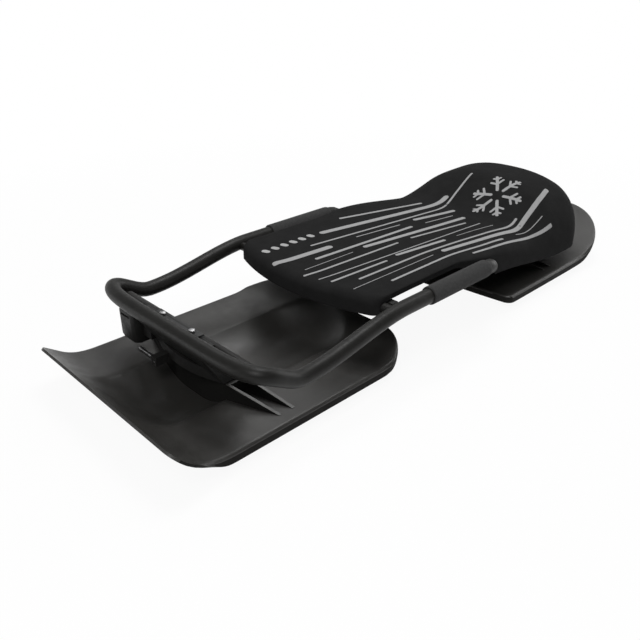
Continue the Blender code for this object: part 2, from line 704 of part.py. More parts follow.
def make_head(clearance):
    """Moulded steering head, hung from the front bar and the front cross tube."""
    behind, rib = FRONT_CROSS_Y + 0.0095, FRONT_CROSS_Y - 0.0070
    profile = [(HEAD_FRONT_Y, HEAD_BOTTOM), (HEAD_REAR_Y, HEAD_BOTTOM), (HEAD_REAR_Y, 0.0730),
               (FRONT_MOUNT_Y + 0.0035, 0.0900), (behind, FRONT_CROSS_Z - 0.0093),
               (behind, FRONT_CROSS_Z), (rib, FRONT_CROSS_Z), (rib, HEAD_RIB_TOP),
               (FRONT_BAR_Y + 0.0115, HEAD_RIB_TOP), (FRONT_BAR_Y - 0.0055, BAR_Z - 0.0090)]
    head = plate("steering_head", [profile], "side", -HEAD_HALF_WIDTH, HEAD_HALF_WIDTH)
    lobe = box("lobe", (LOBE_OUTER_X, LOBE_FRONT_Y, LOBE_BOTTOM),
               (LOBE_INNER_X, LOBE_REAR_Y, LOBE_TOP), CUTTERS, edge=LOBE_ROUND)
    web = box("lobe_web", (LOBE_INNER_X - 0.02, FRONT_CROSS_Y - 0.0120, 0.0700),
              (-HEAD_HALF_WIDTH + 0.005, FRONT_CROSS_Y + 0.0040, 0.1080), CUTTERS)
    slot = box("lobe_slot",
               ((LOBE_OUTER_X + LOBE_INNER_X - LOBE_SLOT_WIDTH) / 2, LOBE_FRONT_Y - 0.01, LOBE_SLOT_Z),
               ((LOBE_OUTER_X + LOBE_INNER_X + LOBE_SLOT_WIDTH) / 2, LOBE_FRONT_Y + LOBE_SLOT_DEPTH,
                LOBE_SLOT_Z + LOBE_SLOT_HEIGHT), CUTTERS)
    fork_x = GATE_PIN_X
    fork_front = GATE_Y - GATE_THICKNESS / 2 - TOUCH_GAP - FORK_WALL
    fork = box("gate_fork", (fork_x - 0.007, fork_front, GATE_Z - 0.006),
               (fork_x + 0.006, fork_front + 0.022, GATE_Z + 0.0085), CUTTERS)
    arm = box("gate_arm", (fork_x - 0.007, fork_front + 0.010, HEAD_BOTTOM + 0.0005),
              (fork_x + 0.006, HEAD_FRONT_Y - 0.001, GATE_Z + 0.008), CUTTERS)
    mouth = box("gate_mouth", (fork_x - 0.02, GATE_Y - GATE_THICKNESS / 2 - TOUCH_GAP, GATE_Z - 0.01),
                (fork_x + 0.0055, GATE_Y + GATE_THICKNESS / 2 + TOUCH_GAP, GATE_Z + 0.0065), CUTTERS)
    steps = [HEAD_HALF_WIDTH * (k / 6 - 1) for k in range(13)]
    bow = [(x, HEAD_FRONT_Y - HEAD_BOW * (1 - (x / HEAD_HALF_WIDTH) ** 2)) for x in steps]
    outline = bow + [(HEAD_HALF_WIDTH, HEAD_FRONT_Y + 0.01), (-HEAD_HALF_WIDTH, HEAD_FRONT_Y + 0.01)]
    chin = plate("chin", [outline], "plan", HEAD_BOTTOM, HEAD_BOTTOM + CHIN_HEIGHT, CUTTERS)
    for vertex in chin.data.vertices:
        if vertex.co.z > HEAD_BOTTOM + CHIN_HEIGHT / 2:
            vertex.co.y += CHIN_LEAN
    join(head, lobe, web, chin)
    cut(head, slot)
    join(head, arm, fork)
    cut(head, mouth)
    cross = cylinder("cross_clearance", (-CUT_REACH, FRONT_CROSS_Y, FRONT_CROSS_Z),
                     (CUT_REACH, FRONT_CROSS_Y, FRONT_CROSS_Z), FRONT_CROSS_RADIUS + TOUCH_GAP, CUTTERS,
                     sides=16)
    spot = cylinder("spot_face", (0, FRONT_MOUNT_Y, SPOT_FACE_Z), (0, FRONT_MOUNT_Y, 0.12), 0.0125,
                    CUTTERS)
    bore = cylinder("kingpin_bore", (0, FRONT_MOUNT_Y, 0.05), (0, FRONT_MOUNT_Y, 0.08),
                    BUSH_RADIUS + TOUCH_GAP, CUTTERS)
    sweep = STOP_PIN_REACH * math.sin(STEER_LIMIT) + STOP_PIN_RADIUS + TOUCH_GAP
    stop = box("stop_slot", (STOP_PIN_REACH - STOP_PIN_RADIUS - 0.0018, FRONT_MOUNT_Y - sweep, 0.05),
               (STOP_PIN_REACH + STOP_PIN_RADIUS + 0.001, FRONT_MOUNT_Y + sweep, STOP_SLOT_TOP),
               CUTTERS)
    pin_hole = cylinder("gate_pin_hole", (GATE_PIN_X, GATE_Y - 0.02, GATE_Z),
                        (GATE_PIN_X, GATE_Y + 0.008, GATE_Z), GATE_PIN_RADIUS + TOUCH_GAP, CUTTERS,
                        sides=16)
    cut(head, clearance, cross, spot, bore, stop, pin_hole)
    for side in (-1, 1):
        hole = cylinder(f"head_screw_hole_{side}", (side * SCREW_X, SCREW_Y, 0.095),
                        (side * SCREW_X, SCREW_Y, 0.14), SCREW_RADIUS + TOUCH_GAP, CUTTERS, sides=16)
        cut(head, hole)
    return finish(head, (0.02, 0.02, 0.02), 0.5)


def bolt(name, centre, shank, head, low, seat, head_height, head_sides=6):
    """A bolt or screw: a shank from low up to its seat, and a head above the seat."""
    x, y = centre
    piece = cylinder(name, (x, y, low), (x, y, seat + head_height / 2), shank, sides=16)
    top = cylinder(name + "_head", (x, y, seat), (x, y, seat + head_height), head, CUTTERS,
                   sides=head_sides)
    return join(piece, top)


def make_head_fittings(clearance):
    plate_low = HEAD_RIB_TOP + TOUCH_GAP
    plate_high = plate_low + HEAD_PLATE_THICKNESS
    strap = box("head_plate", (-0.055, SCREW_Y - 0.0087, plate_low),
                (0.055, SCREW_Y + 0.0083, plate_high))
    cut(strap, clearance)
    for side in (-1, 1):
        hole = cylinder(f"plate_hole_{side}", (side * SCREW_X, SCREW_Y, plate_low - 0.01),
                        (side * SCREW_X, SCREW_Y, plate_high + 0.01), SCREW_RADIUS + TOUCH_GAP,
                        CUTTERS, sides=16)
        cut(strap, hole)
    finish(strap, (0.05, 0.05, 0.05), 0.4, 0.7)
    for name, x in (("left_head_screw", SCREW_X), ("right_head_screw", -SCREW_X)):
        screw = bolt(name, (x, SCREW_Y), SCREW_RADIUS, SCREW_HEAD_RADIUS, 0.0955,
                     plate_high + TOUCH_GAP, SCREW_HEAD_HEIGHT, head_sides=20)
        finish(screw, (0.65, 0.65, 0.66), 0.25, 1.0)


def make_kingpin():
    axis = (0, FRONT_MOUNT_Y)
    washer_low = SPOT_FACE_Z + TOUCH_GAP
    washer_high = washer_low + WASHER_THICKNESS
    nut_low = NUT_POCKET_TOP - TOUCH_GAP - NUT_HEIGHT
    pin = bolt("kingpin", axis, KINGPIN_RADIUS, BOLT_HEAD_RADIUS, nut_low - 0.001,
               washer_high + TOUCH_GAP, BOLT_HEAD_HEIGHT)
    finish(pivot(pin, (*axis, 0)), (0.55, 0.55, 0.56), 0.3, 1.0)
    ring_parts = (
        ("kingpin_washer", WASHER_RADIUS, KINGPIN_RADIUS + TOUCH_GAP, washer_low, washer_high),
        ("kingpin_bush", BUSH_RADIUS, KINGPIN_RADIUS + TOUCH_GAP, HEAD_BOTTOM,
         SPOT_FACE_Z - TOUCH_GAP),
        ("swivel_disc", SWIVEL_RADIUS, KINGPIN_RADIUS + TOUCH_GAP, HUB_TOP + TOUCH_GAP,
         HEAD_BOTTOM - TOUCH_GAP),
        ("kingpin_nut", BOLT_HEAD_RADIUS, KINGPIN_RADIUS + TOUCH_GAP, nut_low,
         nut_low + NUT_HEIGHT),
    )
    looks = {"kingpin_washer": ((0.6, 0.6, 0.61), 0.3, 1.0), "kingpin_bush": ((0.75, 0.74, 0.7), 0.5, 0),
             "swivel_disc": ((0.72, 0.71, 0.67), 0.5, 0), "kingpin_nut": ((0.6, 0.6, 0.61), 0.3, 1.0)}
    for name, outer, inner, low, high in ring_parts:
        sides = 6 if name == "kingpin_nut" else 24
        finish(ring(name, axis, outer, inner, low, high, sides=sides), *looks[name])
    x, y = STOP_PIN_REACH, FRONT_MOUNT_Y
    stop = cylinder("stop_pin", (x, y, 0.040), (x, y, STOP_PIN_TOP), STOP_PIN_RADIUS, sides=16)
    finish(pivot(stop, (*axis, 0)), (0.6, 0.6, 0.61), 0.3, 1.0)
    return cylinder("stop_pin_bore", (x, y, 0.040 - TOUCH_GAP), (x, y, 0.07),
                    STOP_PIN_RADIUS + TOUCH_GAP, CUTTERS, sides=16)


def make_gate():
    """Small gate under the head that closes the tow anchor, with its pin."""
    low = (GATE_TIP_X, GATE_Y - GATE_THICKNESS / 2, GATE_Z - GATE_HEIGHT / 2)
    high = (GATE_PIN_X + 0.004, GATE_Y + GATE_THICKNESS / 2, GATE_Z + GATE_HEIGHT / 2)
    gate = box("tow_gate", low, high, edge=0.0015)
    hole = cylinder("gate_bore", (GATE_PIN_X, GATE_Y - 0.02, GATE_Z), (GATE_PIN_X, GATE_Y + 0.02, GATE_Z),
                    GATE_PIN_RADIUS + TOUCH_GAP, CUTTERS, sides=16)
    cut(pivot(gate, (GATE_PIN_X, GATE_Y, GATE_Z)), hole)
    finish(gate, (0.3, 0.3, 0.31), 0.3, 0.9)
    pin = cylinder("gate_pin", (GATE_PIN_X, GATE_Y - GATE_THICKNESS / 2 - FORK_WALL, GATE_Z),
                   (GATE_PIN_X, GATE_Y + GATE_THICKNESS / 2 + FORK_WALL, GATE_Z), GATE_PIN_RADIUS,
                   sides=16)
    finish(pin, (0.5, 0.5, 0.5), 0.3, 1.0)


def make_rear_mount(clearance):
    """Rear bracket between the frame and the fixed rear ski."""
    front, rear = REAR_CROSS_Y, REAR_BAR_Y
    foot = PEDESTAL_HALF_DEPTH
    profile = [(REAR_MOUNT_Y - foot, REAR_BRACKET_BOTTOM), (REAR_MOUNT_Y + foot, REAR_BRACKET_BOTTOM),
               (rear + 0.004, REAR_RAIL_Z - 0.020), (rear + 0.004, REAR_RAIL_Z),
               (rear - 0.018, REAR_RAIL_Z + 0.0115), (front + 0.016, REAR_RAIL_Z + 0.0115),
               (front - 0.004, REAR_RAIL_Z), (front - 0.004, REAR_RAIL_Z - 0.018)]
    bracket = plate("rear_bracket", [profile], "side", -REAR_BRACKET_HALF, REAR_BRACKET_HALF)
    cross = cylinder("rear_cross_clearance", (-CUT_REACH, REAR_CROSS_Y, REAR_RAIL_Z),
                     (CUT_REACH, REAR_CROSS_Y, REAR_RAIL_Z), REAR_CROSS_RADIUS + TOUCH_GAP,
                     CUTTERS, sides=16)
    cut(bracket, clearance, cross)
    for side in (-1, 1):
        well = cylinder(f"bolt_well_{side}", (side * REAR_BOLT_X, REAR_MOUNT_Y, REAR_FLANGE_TOP),
                        (side * REAR_BOLT_X, REAR_MOUNT_Y, 0.13), 0.0125, CUTTERS)
        bore = cylinder(f"rear_bolt_bore_{side}", (side * REAR_BOLT_X, REAR_MOUNT_Y, 0.05),
                        (side * REAR_BOLT_X, REAR_MOUNT_Y, 0.08), KINGPIN_RADIUS + TOUCH_GAP, CUTTERS)
        screw = cylinder(f"clamp_screw_bore_{side}", (side * CLAMP_SCREW_X, CLAMP_SCREW_Y, 0.085),
                         (side * CLAMP_SCREW_X, CLAMP_SCREW_Y, 0.13), SCREW_RADIUS + TOUCH_GAP, CUTTERS,
                         sides=16)
        cut(bracket, well, bore, screw)
    cut(bracket, cylinder("post_screw_pocket", (0, POST_Y, CLAMP_LOW - 0.006), (0, POST_Y, 0.13),
                          POST_SCREW_POCKET, CUTTERS, sides=16))
    finish(bracket, (0.02, 0.02, 0.02), 0.5)
    strap = box("rear_clamp_plate", (-0.032, front - 0.006, CLAMP_LOW), (0.032, rear + 0.008, CLAMP_HIGH))
    for side in (-1, 1):
        hole = cylinder(f"clamp_hole_{side}", (side * CLAMP_SCREW_X, CLAMP_SCREW_Y, 0.10),
                        (side * CLAMP_SCREW_X, CLAMP_SCREW_Y, 0.14), SCREW_RADIUS + TOUCH_GAP, CUTTERS,
                        sides=16)
        cut(strap, hole)
    post_hole = cylinder("post_screw_hole", (0, POST_Y, 0.10), (0, POST_Y, 0.14),
                         SCREW_RADIUS + TOUCH_GAP, CUTTERS, sides=16)
    cut(strap, post_hole)
    finish(strap, (0.05, 0.05, 0.05), 0.4, 0.7)
    head_top = CLAMP_LOW - TOUCH_GAP
    post_screw = cylinder("seat_post_screw", (0, POST_Y, head_top - SCREW_HEAD_HEIGHT / 2),
                          (0, POST_Y, POST_SCREW_TOP), SCREW_RADIUS, sides=16)
    post_head = cylinder("post_screw_head", (0, POST_Y, head_top - SCREW_HEAD_HEIGHT),
                         (0, POST_Y, head_top), SCREW_HEAD_RADIUS, CUTTERS, sides=20)
    finish(join(post_screw, post_head), (0.6, 0.6, 0.61), 0.3, 1.0)
    nut_low = NUT_POCKET_TOP - TOUCH_GAP - NUT_HEIGHT
    washer_low = REAR_FLANGE_TOP + TOUCH_GAP
    washer_high = washer_low + WASHER_THICKNESS
    hole = KINGPIN_RADIUS + TOUCH_GAP
    for word, side in (("left", 1), ("right", -1)):
        screw = bolt(word + "_clamp_screw", (side * CLAMP_SCREW_X, CLAMP_SCREW_Y), SCREW_RADIUS,
                     SCREW_HEAD_RADIUS, 0.0855, CLAMP_HIGH + TOUCH_GAP, SCREW_HEAD_HEIGHT,
                     head_sides=20)
        finish(screw, (0.6, 0.6, 0.61), 0.3, 1.0)
        axis = (side * REAR_BOLT_X, REAR_MOUNT_Y)
        stud = bolt(word + "_ski_bolt", axis, KINGPIN_RADIUS, BOLT_HEAD_RADIUS, nut_low - 0.001,
                    washer_high + TOUCH_GAP, BOLT_HEAD_HEIGHT)
        finish(stud, (0.55, 0.55, 0.56), 0.3, 1.0)
        washer = ring(word + "_ski_washer", axis, WASHER_RADIUS, hole, washer_low, washer_high)
        finish(washer, (0.6, 0.6, 0.61), 0.3, 1.0)
        nut = ring(word + "_ski_nut", axis, BOLT_HEAD_RADIUS, hole, nut_low, nut_low + NUT_HEIGHT,
                   sides=6)
        finish(nut, (0.6, 0.6, 0.61), 0.3, 1.0)


def make_grip(name, side):
    length = GRIP_REAR_Y - GRIP_FRONT_Y
    inner = TUBE_RADIUS + TOUCH_GAP
    soft = 0.0022
    end = 0.010
    profile = [(inner, 0.0), (inner, length), (inner + 0.001, length)]
    for step in range(1, 5):
        angle = math.pi / 2 * step / 4
        reach = GRIP_RADIUS - inner - 0.001
        profile.append((inner + 0.001 + reach * math.sin(angle), length - end + end * math.cos(angle)))
    profile += [(GRIP_RADIUS, soft), (GRIP_RADIUS - soft * 0.6, 0.0)]
    centre = (side * RAIL_X, GRIP_FRONT_Y, RAIL_Z)
    grip = turned(name, profile, centre, axis="Y", sides=20)
    return finish(grip, (0.075, 0.078, 0.08), 0.85)


def seat_top(y):
    """Height of the seat along the sled, before its crown: flat, a ramp, then the tail pad."""
    ramp = soft_ramp(y, SEAT_RAMP_START_Y, SEAT_KNEE) - soft_ramp(y, SEAT_RAMP_END_Y, SEAT_KNEE)
    return SEAT_TOP + SEAT_RAMP_SLOPE * ramp


def seat_half_width(y):
    """Half width of the seat: a waist between the grips and a wider hip behind them."""
    front = 0.003 * (1 - smooth(y, SEAT_FRONT_Y, SEAT_FRONT_Y + 0.12))
    hip = (SEAT_HIP_HALF - SEAT_WAIST_HALF) * smooth(y, SEAT_HIP_START_Y, SEAT_HIP_END_Y)
    return SEAT_WAIST_HALF + front + hip


def seat_plan(s, t, inset):
    """Plan position on the seat, or on a layer that lies an inset inside its outline."""
    x = s * SEAT_WAIST_HALF
    low = SEAT_FRONT_Y + SEAT_FRONT_ARC * x * x + fillet(x, SEAT_WAIST_HALF, SEAT_FRONT_CORNER)
    high = SEAT_REAR_Y - fillet(x, SEAT_WAIST_HALF, SEAT_REAR_CORNER)
    share = (t + 1) / 2
    share += SEAT_TAIL_CROWDING * share * (1 - share)
    y = low + inset + (high - low - 2 * inset) * share
    return s * (seat_half_width(y) - inset), y, low + inset, high - inset


def seat_bottom(y):
    """Lower edge of the seat's sides: thin at the waist, deep skirts behind."""
    waist = seat_top(y) - WAIST_EDGE_DEPTH
    skirt = SKIRT_FRONT_BOTTOM + (SKIRT_REAR_BOTTOM - SKIRT_FRONT_BOTTOM) * smooth(y, 0.09, 0.36)
    behind_tube = smooth(y, MID_CROSS_Y - 0.018, MID_CROSS_Y - 0.007)
    side = APRON_BOTTOM + (waist - APRON_BOTTOM) * behind_tube
    return side + (skirt - side) * smooth(y, SKIRT_START_Y, SKIRT_FULL_Y)


def arch(share, power):
    """Height share of a rounded section, 1 in the middle and 0 at its edge."""
    return max(0.0, 1 - min(1.0, share) ** power) ** (1 / power)


def seat_layer(inset):
    """A surface of the seat: flat at the waist, arched over the hips, round at the tail."""
    def place(s, t, edge):
        x, y, front_y, rear_y = seat_plan(s, t, inset)
        low = seat_bottom(y)
        if t <= -1:
            return x, y, APRON_BOTTOM
        dome = smooth(y, SEAT_DOME_START_Y, SEAT_DOME_END_Y)
        power = 1 / ((1 - dome) / SEAT_FLATNESS + dome / SEAT_DOME)
        tail = arch(max(0.0, 1 - (rear_y - y) / SEAT_TAIL_RUN), SEAT_TAIL_POWER)
        z = low + (seat_top(y) - inset - low) * arch(abs(s), power) * tail
        radius = max(0.003, SEAT_EDGE_ROUND - inset)
        over = max(0.0, radius - (y - front_y))
        return x, y, z - radius + math.sqrt(radius * radius - over * over)
    return place


def rail_arch(name, side):
    """Arched passage under the seat's side for a rail, open downward."""
    sides = [(-RAIL_ARCH_RADIUS, -0.06)]
    sides += [(-RAIL_ARCH_RADIUS * math.cos(math.pi * k / 10), RAIL_ARCH_RADIUS * math.sin(math.pi * k / 10))
              for k in range(11)]
    sides.append((RAIL_ARCH_RADIUS, -0.06))
    section = bpy.data.curves.new(name + "_section", "CURVE")
    section.dimensions = "2D"
    line = section.splines.new("POLY")
    line.points.add(len(sides) - 1)
    for point, (u, v) in zip(line.points, sides):
        point.co = (u, v, 0, 1)
    line.use_cyclic_u = True
    arch_section = bpy.data.objects.new(name + "_section", section)
    CUTTERS.objects.link(arch_section)
    hide_cutter(arch_section)
    path = bpy.data.curves.new(name, "CURVE")
    path.dimensions = "3D"
    path.twist_mode = "Z_UP"
    path.bevel_mode = "OBJECT"
    path.bevel_object = arch_section
    path.use_fill_caps = True
    spline = path.splines.new("POLY")
    ys = [0.060 + 0.010 * k for k in range(8)]
    spline.points.add(len(ys) - 1)
    for point, y in zip(spline.points, ys):
        point.co = (side * rail_offset(y), y, rail_height(y), 1)
    passage = bpy.data.objects.new(name, path)
    CUTTERS.objects.link(passage)
    return mesh_from_curve(passage, CUTTERS)


def make_seat():
    size = (SEAT_WAIST_HALF, (SEAT_REAR_Y - SEAT_FRONT_Y) / 2)
    insets = rim_insets(RIM_DRAFT, SEAT_EDGE_ROUND)
    outside = PAD_THICKNESS + SKIN_GAP
    inside = outside + SHELL_THICKNESS
    pad = layer("seat_pad", size, SEAT_COUNTS, insets, seat_layer(0.0), seat_layer(PAD_THICKNESS))
    shell = layer("seat_shell", size, SEAT_COUNTS, insets, seat_layer(outside), seat_layer(inside))
    middle = seat_layer((outside + inside) / 2)
    under = sheet("seat_underside", size, SEAT_COUNTS, insets, middle, CUTTERS)
    close_to(under, 0.3)
    post = box("seat_post", (-POST_HALF_WIDTH, POST_Y - POST_HALF_WIDTH, CLAMP_HIGH + TOUCH_GAP),
               (POST_HALF_WIDTH, POST_Y + POST_HALF_WIDTH, 0.25), CUTTERS)
    bore = cylinder("seat_post_bore", (0, POST_Y, 0.1), (0, POST_Y, POST_SCREW_TOP + TOUCH_GAP),
                    SCREW_RADIUS + TOUCH_GAP, CUTTERS, sides=16)
    cut(post, under, bore)
    join(shell, post)
    arches = [rail_arch("left_rail_arch", 1), rail_arch("right_rail_arch", -1)]
    groove = cylinder("cross_groove", (-CUT_REACH, MID_CROSS_Y, MID_CROSS_Z),
                      (CUT_REACH, MID_CROSS_Y, MID_CROSS_Z), MID_CROSS_RADIUS + 0.0008, CUTTERS)
    cut(pad, *arches, groove)
    cut(shell, *arches, groove)
    finish(pad, (0.05, 0.05, 0.052), 0.8)
    finish(shell, (0.02, 0.02, 0.02), 0.55)


def make_clips():
    """Clips that hold the seat shell to the middle cross tube, each with its tab."""
    top = SEAT_TOP - PAD_THICKNESS - SHELL_THICKNESS - 3 * TOUCH_GAP
    bore = cylinder("clip_bore", (-CUT_REACH, MID_CROSS_Y, MID_CROSS_Z),
                    (CUT_REACH, MID_CROSS_Y, MID_CROSS_Z),
                    MID_CROSS_RADIUS + TOUCH_GAP, CUTTERS, sides=16)
    for name, side in (("left_seat_clip", 1), ("right_seat_clip", -1)):
        ends = sorted((side * (CLIP_X - CLIP_HALF), side * (CLIP_X + CLIP_HALF)))
        clip = box(name, (ends[0], MID_CROSS_Y - 0.0105, MID_CROSS_Z - 0.011),
                   (ends[1], MID_CROSS_Y + 0.012, top))
        ends = sorted((side * CLIP_X, side * (SEAT_WAIST_HALF + 0.010)))
        tab = box(name + "_tab", (ends[0], MID_CROSS_Y + 0.0105, top - 0.0078),
                  (ends[1], MID_CROSS_Y + 0.0235, top - 0.0043), CUTTERS)
        join(clip, tab)
        cut(clip, bore)
        finish(clip, (0.015, 0.015, 0.015), 0.5)


def main():
    clearance = make_frame()
    stop_bore = make_kingpin()
    front_length = FRONT_MOUNT_Y - FRONT_END + FRONT_SKI_TAIL
    front_surface = (front_ski_plan, front_ski_top, front_lip, front_length)
    rear_surface = (rear_ski_plan, rear_ski_top, rear_lip, REAR_END - REAR_MOUNT_Y + REAR_SKI_LEAD)
    grey = (0.055, 0.053, 0.048)
    hubs = [(0.0, HUB_RADIUS), (STOP_PIN_REACH, STOP_BOSS_RADIUS)]
    front_ski = make_ski("front_ski", front_surface, FRONT_MOUNT_Y, hubs, [0.0], grey)
    cut(pivot(front_ski, (0, FRONT_MOUNT_Y, 0)), stop_bore)
    hubs = [(-REAR_BOLT_X, REAR_HUB_RADIUS), (REAR_BOLT_X, REAR_HUB_RADIUS)]
    make_ski("rear_ski", rear_surface, REAR_MOUNT_Y, hubs, [-REAR_BOLT_X, REAR_BOLT_X], grey)
    make_head(clearance)
    make_head_fittings(clearance)
    make_gate()
    make_rear_mount(clearance)
    make_grip("left_grip", 1)
    make_grip("right_grip", -1)
    make_seat()
    make_clips()


main()
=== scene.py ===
"""Looks of the steering sled: skis, tube, grips, pad, prints, materials, light and camera.

Metres, +Z up, front to -Y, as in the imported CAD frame. The skis, the tube, the grips and the
seat are rebuilt finely on the same sizes as the solids that they replace.
"""
import json
import math

import bmesh
import bpy
from mathutils import Matrix, Vector
from mathutils.bvhtree import BVHTree


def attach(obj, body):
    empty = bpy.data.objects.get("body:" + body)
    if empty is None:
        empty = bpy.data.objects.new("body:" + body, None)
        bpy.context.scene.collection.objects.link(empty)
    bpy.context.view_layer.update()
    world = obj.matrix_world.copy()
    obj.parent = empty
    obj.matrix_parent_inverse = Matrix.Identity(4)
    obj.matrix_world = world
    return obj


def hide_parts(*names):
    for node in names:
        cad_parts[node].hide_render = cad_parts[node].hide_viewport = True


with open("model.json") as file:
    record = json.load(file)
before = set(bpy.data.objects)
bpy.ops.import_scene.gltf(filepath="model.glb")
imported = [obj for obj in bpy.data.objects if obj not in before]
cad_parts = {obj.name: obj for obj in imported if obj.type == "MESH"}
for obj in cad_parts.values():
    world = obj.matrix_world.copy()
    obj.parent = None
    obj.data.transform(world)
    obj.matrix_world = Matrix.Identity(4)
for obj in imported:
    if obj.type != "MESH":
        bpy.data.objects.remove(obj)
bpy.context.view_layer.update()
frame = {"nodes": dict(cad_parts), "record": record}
NODES = frame["nodes"]

# Overall layout along Y, as in the CAD source
LENGTH = 1.165
FRONT_END = -LENGTH / 2
REAR_END = LENGTH / 2
FRONT_MOUNT_Y = -0.4095
SKI_SPACING = 0.7175
REAR_MOUNT_Y = FRONT_MOUNT_Y + SKI_SPACING
TOUCH_GAP = 0.0003

# Meshes
ROUND_SIDES = 48
TURNED_SIDES = 64
WELD = 0.00001
SOFT_EDGE = 0.0005
SOFT_EDGE_ANGLE = math.radians(40)
SMOOTH_ANGLE = math.radians(30)

# Skis
SKI_HALF_WIDTH = 0.191
SKI_WALL = 0.004
WING_TOP = 0.0315
LIP_DROP = 0.014
LIP_ROUND = 0.006
LIP_ROUND_SHARE = 0.75
FRONT_LIP_START = 0.028
FRONT_LIP_FULL = 0.083
FRONT_LIP_FADE_START = 0.055
FRONT_LIP_FADE_END = 0.015
REAR_LIP_FADE_START = 0.150
REAR_LIP_FADE_END = 0.080
TAIL_LIP_SHARE = 0.35
CHANNEL_FLOOR_HALF = 0.018
CHANNEL_HALF = 0.085
CHANNEL_FADE_START = 0.004
CHANNEL_FADE_END = 0.085
FRONT_CHANNEL_TAIL = 0.195
REAR_CHANNEL_TAIL = 0.110
FRONT_SKI_TAIL = 0.284
FRONT_NOSE = 0.0032
FRONT_CORNER = 0.024
FRONT_TAIL_CORNER = 0.070
FRONT_CURL_RUN = 0.100
FRONT_CURL_RISE = 0.0442
FRONT_CURL_POWER = 2.7
FRONT_TAIL_RUN = 0.080
FRONT_TAIL_RISE = 0.027
REAR_SKI_LEAD = 0.160
REAR_FRONT_BOW = 0.30
REAR_CORNER = 0.014
REAR_TAIL_CORNER = 0.125
REAR_RAMP_RUN = 0.1275
REAR_RAMP_SLOPE = 0.50
REAR_RAMP_KNEE = 0.02
RIM_DRAFT = 0.0010
RIM_STEPS = 6
SKI_COUNTS = (84, 76)
# Ski faces that look less up than this get the darker copy of the ski's plastic, painted shade
SKI_SHADE_FACING = 0.35

# Pedestals
PEDESTAL_TOP = 0.0580
PEDESTAL_HALF_DEPTH = 0.0185
PEDESTAL_HALF_WIDTH = 0.087
PEDESTAL_BLANK_TOP = 0.070
PEDESTAL_FOOT = 0.001
RIB_SWEEP = 0.0255
RIB_REACH = 0.168
RIB_TIP_HALF = 0.015
RIB_TIP_Z = 0.0320
RIB_WALL = 0.005
HUB_RADIUS = 0.018
HUB_TOP = 0.0560
WEB_TOP = HUB_TOP - 0.004
BOLT_RADIUS = 0.005
NUT_POCKET_RADIUS = 0.0100
NUT_POCKET_TOP = 0.0150
STOP_PIN_REACH = 0.0300
STOP_PIN_RADIUS = 0.003
STOP_BOSS_RADIUS = 0.0065
STOP_PIN_LOW = 0.040
REAR_BOLT_X = 0.055
REAR_HUB_RADIUS = 0.0155

# Cutting shapes, which reach past what they cut
POCKET_OVERRUN = 0.001
CUT_LOW = -0.010
CUT_HIGH = 0.080
SLOPE_HALF_WIDTH = 0.25
SLOPE_HALF_DEPTH = 0.10
SLOPE_HIGH = 0.10
CORE_LOW = -0.05
UNDER_SEAT_TOP = 0.30
GROOVE_HALF_LENGTH = 0.2
GROOVE_GAP = 0.0008
RAIL_ARCH_RADIUS = 0.0150
RAIL_ARCH_LEGS = 0.06
RAIL_ARCH_SIDES = 24
RAIL_ARCH_ROWS = 29
RAIL_ARCH_STEP = 0.0025
SLOPE_STEP = 0.001

# Frame tube
TUBE_RADIUS = 0.0125
TUBE_RESOLUTION = 10
RAIL_X = 0.193
RAIL_Z = 0.1265
FRONT_BAR_Y = -0.4605
FRONT_BEND_Y = -0.400
FRONT_BEND_POWER = 5.0
FRONT_BEND_STEPS = 64
REAR_BEND_POWER = 2.6
REAR_BEND_STEPS = 32
RAIL_STEPS = 90
BAR_Z = 0.127
BAR_DROP_Y = -0.452
DIP_Z = 0.097
DIP_Y = -0.375
DIP_END_Y = -0.160
TUCK_START_Y = 0.060
TUCK_END_Y = 0.160
TUCK_DROP_END_Y = 0.105
REAR_RAIL_X = 0.118
REAR_RAIL_Z = 0.106
REAR_BEND_Y = 0.325
REAR_BAR_Y = 0.385
MID_CROSS_RADIUS = 0.008
MID_CROSS_Y = -0.1800
MID_CROSS_Z = 0.1225

# Grips
GRIP_RADIUS = 0.0153
GRIP_FRONT_Y = -0.1055
GRIP_REAR_Y = 0.0515
GRIP_FRONT_ROUND = 0.0022
GRIP_FRONT_DEPTH_SHARE = 0.6
GRIP_FRONT_STEPS = 6
GRIP_REAR_ROUND = 0.008
GRIP_REAR_STEPS = 12
GRIP_END_WALL = 0.001
GRIP_ROWS = 14

# Seat
SEAT_TOP = 0.1424
SEAT_FRONT_Y = -0.2317
SEAT_FRONT_ARC = 1.35
SEAT_REAR_Y = 0.461
SEAT_WAIST_HALF = 0.1635
SEAT_HIP_HALF = 0.181
SEAT_HIP_START_Y = 0.000
SEAT_HIP_END_Y = 0.078
SEAT_FRONT_FLARE = 0.003
SEAT_FLARE_RUN = 0.12
SEAT_RAMP_START_Y = 0.246
SEAT_RAMP_END_Y = 0.3315
SEAT_RAMP_SLOPE = 0.615
SEAT_TAIL_CROWDING = 0.35
SEAT_TAIL_RUN = 0.064
SEAT_TAIL_POWER = 4.2
SEAT_FLATNESS = 12.0
SEAT_DOME = 2.37
SEAT_DOME_START_Y = 0.069
SEAT_DOME_END_Y = 0.324
SEAT_KNEE = 0.018
SEAT_EDGE_ROUND = 0.016
SEAT_LEAST_ROUND = 0.003
SEAT_FRONT_CORNER = 0.012
SEAT_REAR_CORNER = 0.075
APRON_BOTTOM = 0.112
APRON_FADE_START = 0.018
APRON_FADE_END = 0.007
WAIST_EDGE_DEPTH = 0.0115
SKIRT_START_Y = 0.000
SKIRT_FULL_Y = 0.095
SKIRT_FRONT_BOTTOM = 0.0935
SKIRT_REAR_BOTTOM = 0.0645
SKIRT_SLOPE_START_Y = 0.09
SKIRT_SLOPE_END_Y = 0.36
SEAT_COUNTS = (66, 96)
